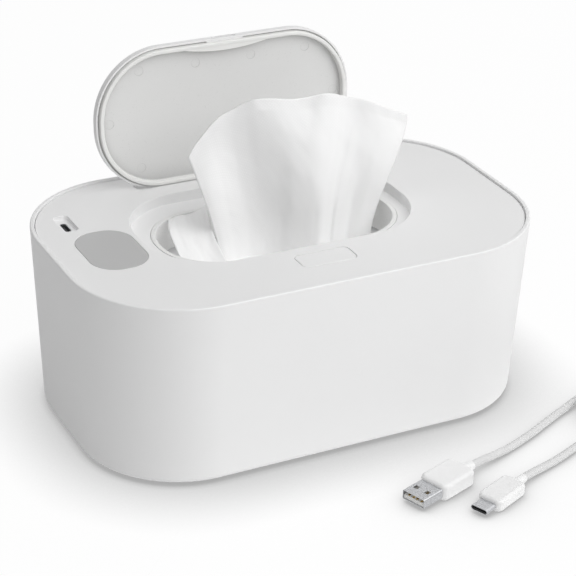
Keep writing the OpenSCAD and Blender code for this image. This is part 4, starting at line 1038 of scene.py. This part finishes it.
def makeTable():
    t = tableLook
    clearAll()
    bpy.ops.mesh.primitive_plane_add(size=t["size"], location=(0, 0, 0))
    table = named("table")
    made, tree, shader = newMaterial("paleTable", {
        "Base Color": t["colour"], "Roughness": t["rough"], "Specular IOR Level": t["shine"]})
    light = addNode(tree, "ShaderNodeLightPath")
    # painted shade: the glow dims where things stand close
    shade = addMaths(tree, "MULTIPLY", addOpenness(tree, *t["shade"]), addOpenness(tree, *t["line"]))
    white = addNode(tree, "ShaderNodeEmission", {"Color": (1, 1, 1, 1)}, {"Strength": shade})
    share = addNode(tree, "ShaderNodeMath", {1: t["white"]}, {0: light.outputs["Is Camera Ray"]},
                    operation="MULTIPLY")
    mixed = addNode(tree, "ShaderNodeMixShader", {},
                    {0: share.outputs[0], 1: shader.outputs[0], 2: white.outputs[0]})
    tree.links.new(mixed.outputs[0], tree.nodes["Material Output"].inputs["Surface"])
    table.data.materials.append(made)


makeTable()

# light: a pale room, a broad soft lamp at the right front, and one beside it that only lifts the shade
lampSetup = {
    "room": 0.35, "aim": (0, 0, 50),
    "lamps": {
        "key": {"place": (620, -930, 1290), "size": 1.6, "power": 12.5, "shadow": True},
        "lift": {"place": (540, -990, 1310), "size": 1.6, "power": 9.0, "shadow": False},
    },
}


# seen directly or in a shine the room is white, and as light on the pieces it is dimmer
def makeRoom():
    world = bpy.data.worlds.new("paleRoom")
    bpy.context.scene.world = world
    world.use_nodes = True
    tree = world.node_tree
    tree.nodes.clear()
    path = addNode(tree, "ShaderNodeLightPath").outputs
    seen = addMaths(tree, "MAXIMUM", path["Is Camera Ray"], path["Is Glossy Ray"])
    clear = addMaths(tree, "MAXIMUM", seen, path["Is Transmission Ray"])
    strength = addSpan(tree, clear, 0, 1, lampSetup["room"], 1)
    sky = addNode(tree, "ShaderNodeBackground", {"Color": (1, 1, 1, 1)}, {"Strength": strength})
    addNode(tree, "ShaderNodeOutputWorld", {}, {"Surface": sky.outputs[0]})


def makeLamps():
    for name, lamp in lampSetup["lamps"].items():
        clearAll()
        bpy.ops.object.light_add(type="AREA", location=[c * mm for c in lamp["place"]])
        made = named(name + "Lamp")
        made.data.energy = lamp["power"]
        made.data.size = lamp["size"]
        made.data.use_shadow = lamp["shadow"]
        aim = Vector(lampSetup["aim"]) * mm - made.location
        made.rotation_mode = "QUATERNION"
        made.rotation_quaternion = aim.to_track_quat("-Z", "Y")


makeRoom()
makeLamps()
bpy.context.scene.view_settings.view_transform = "Standard"
print("table and light done")
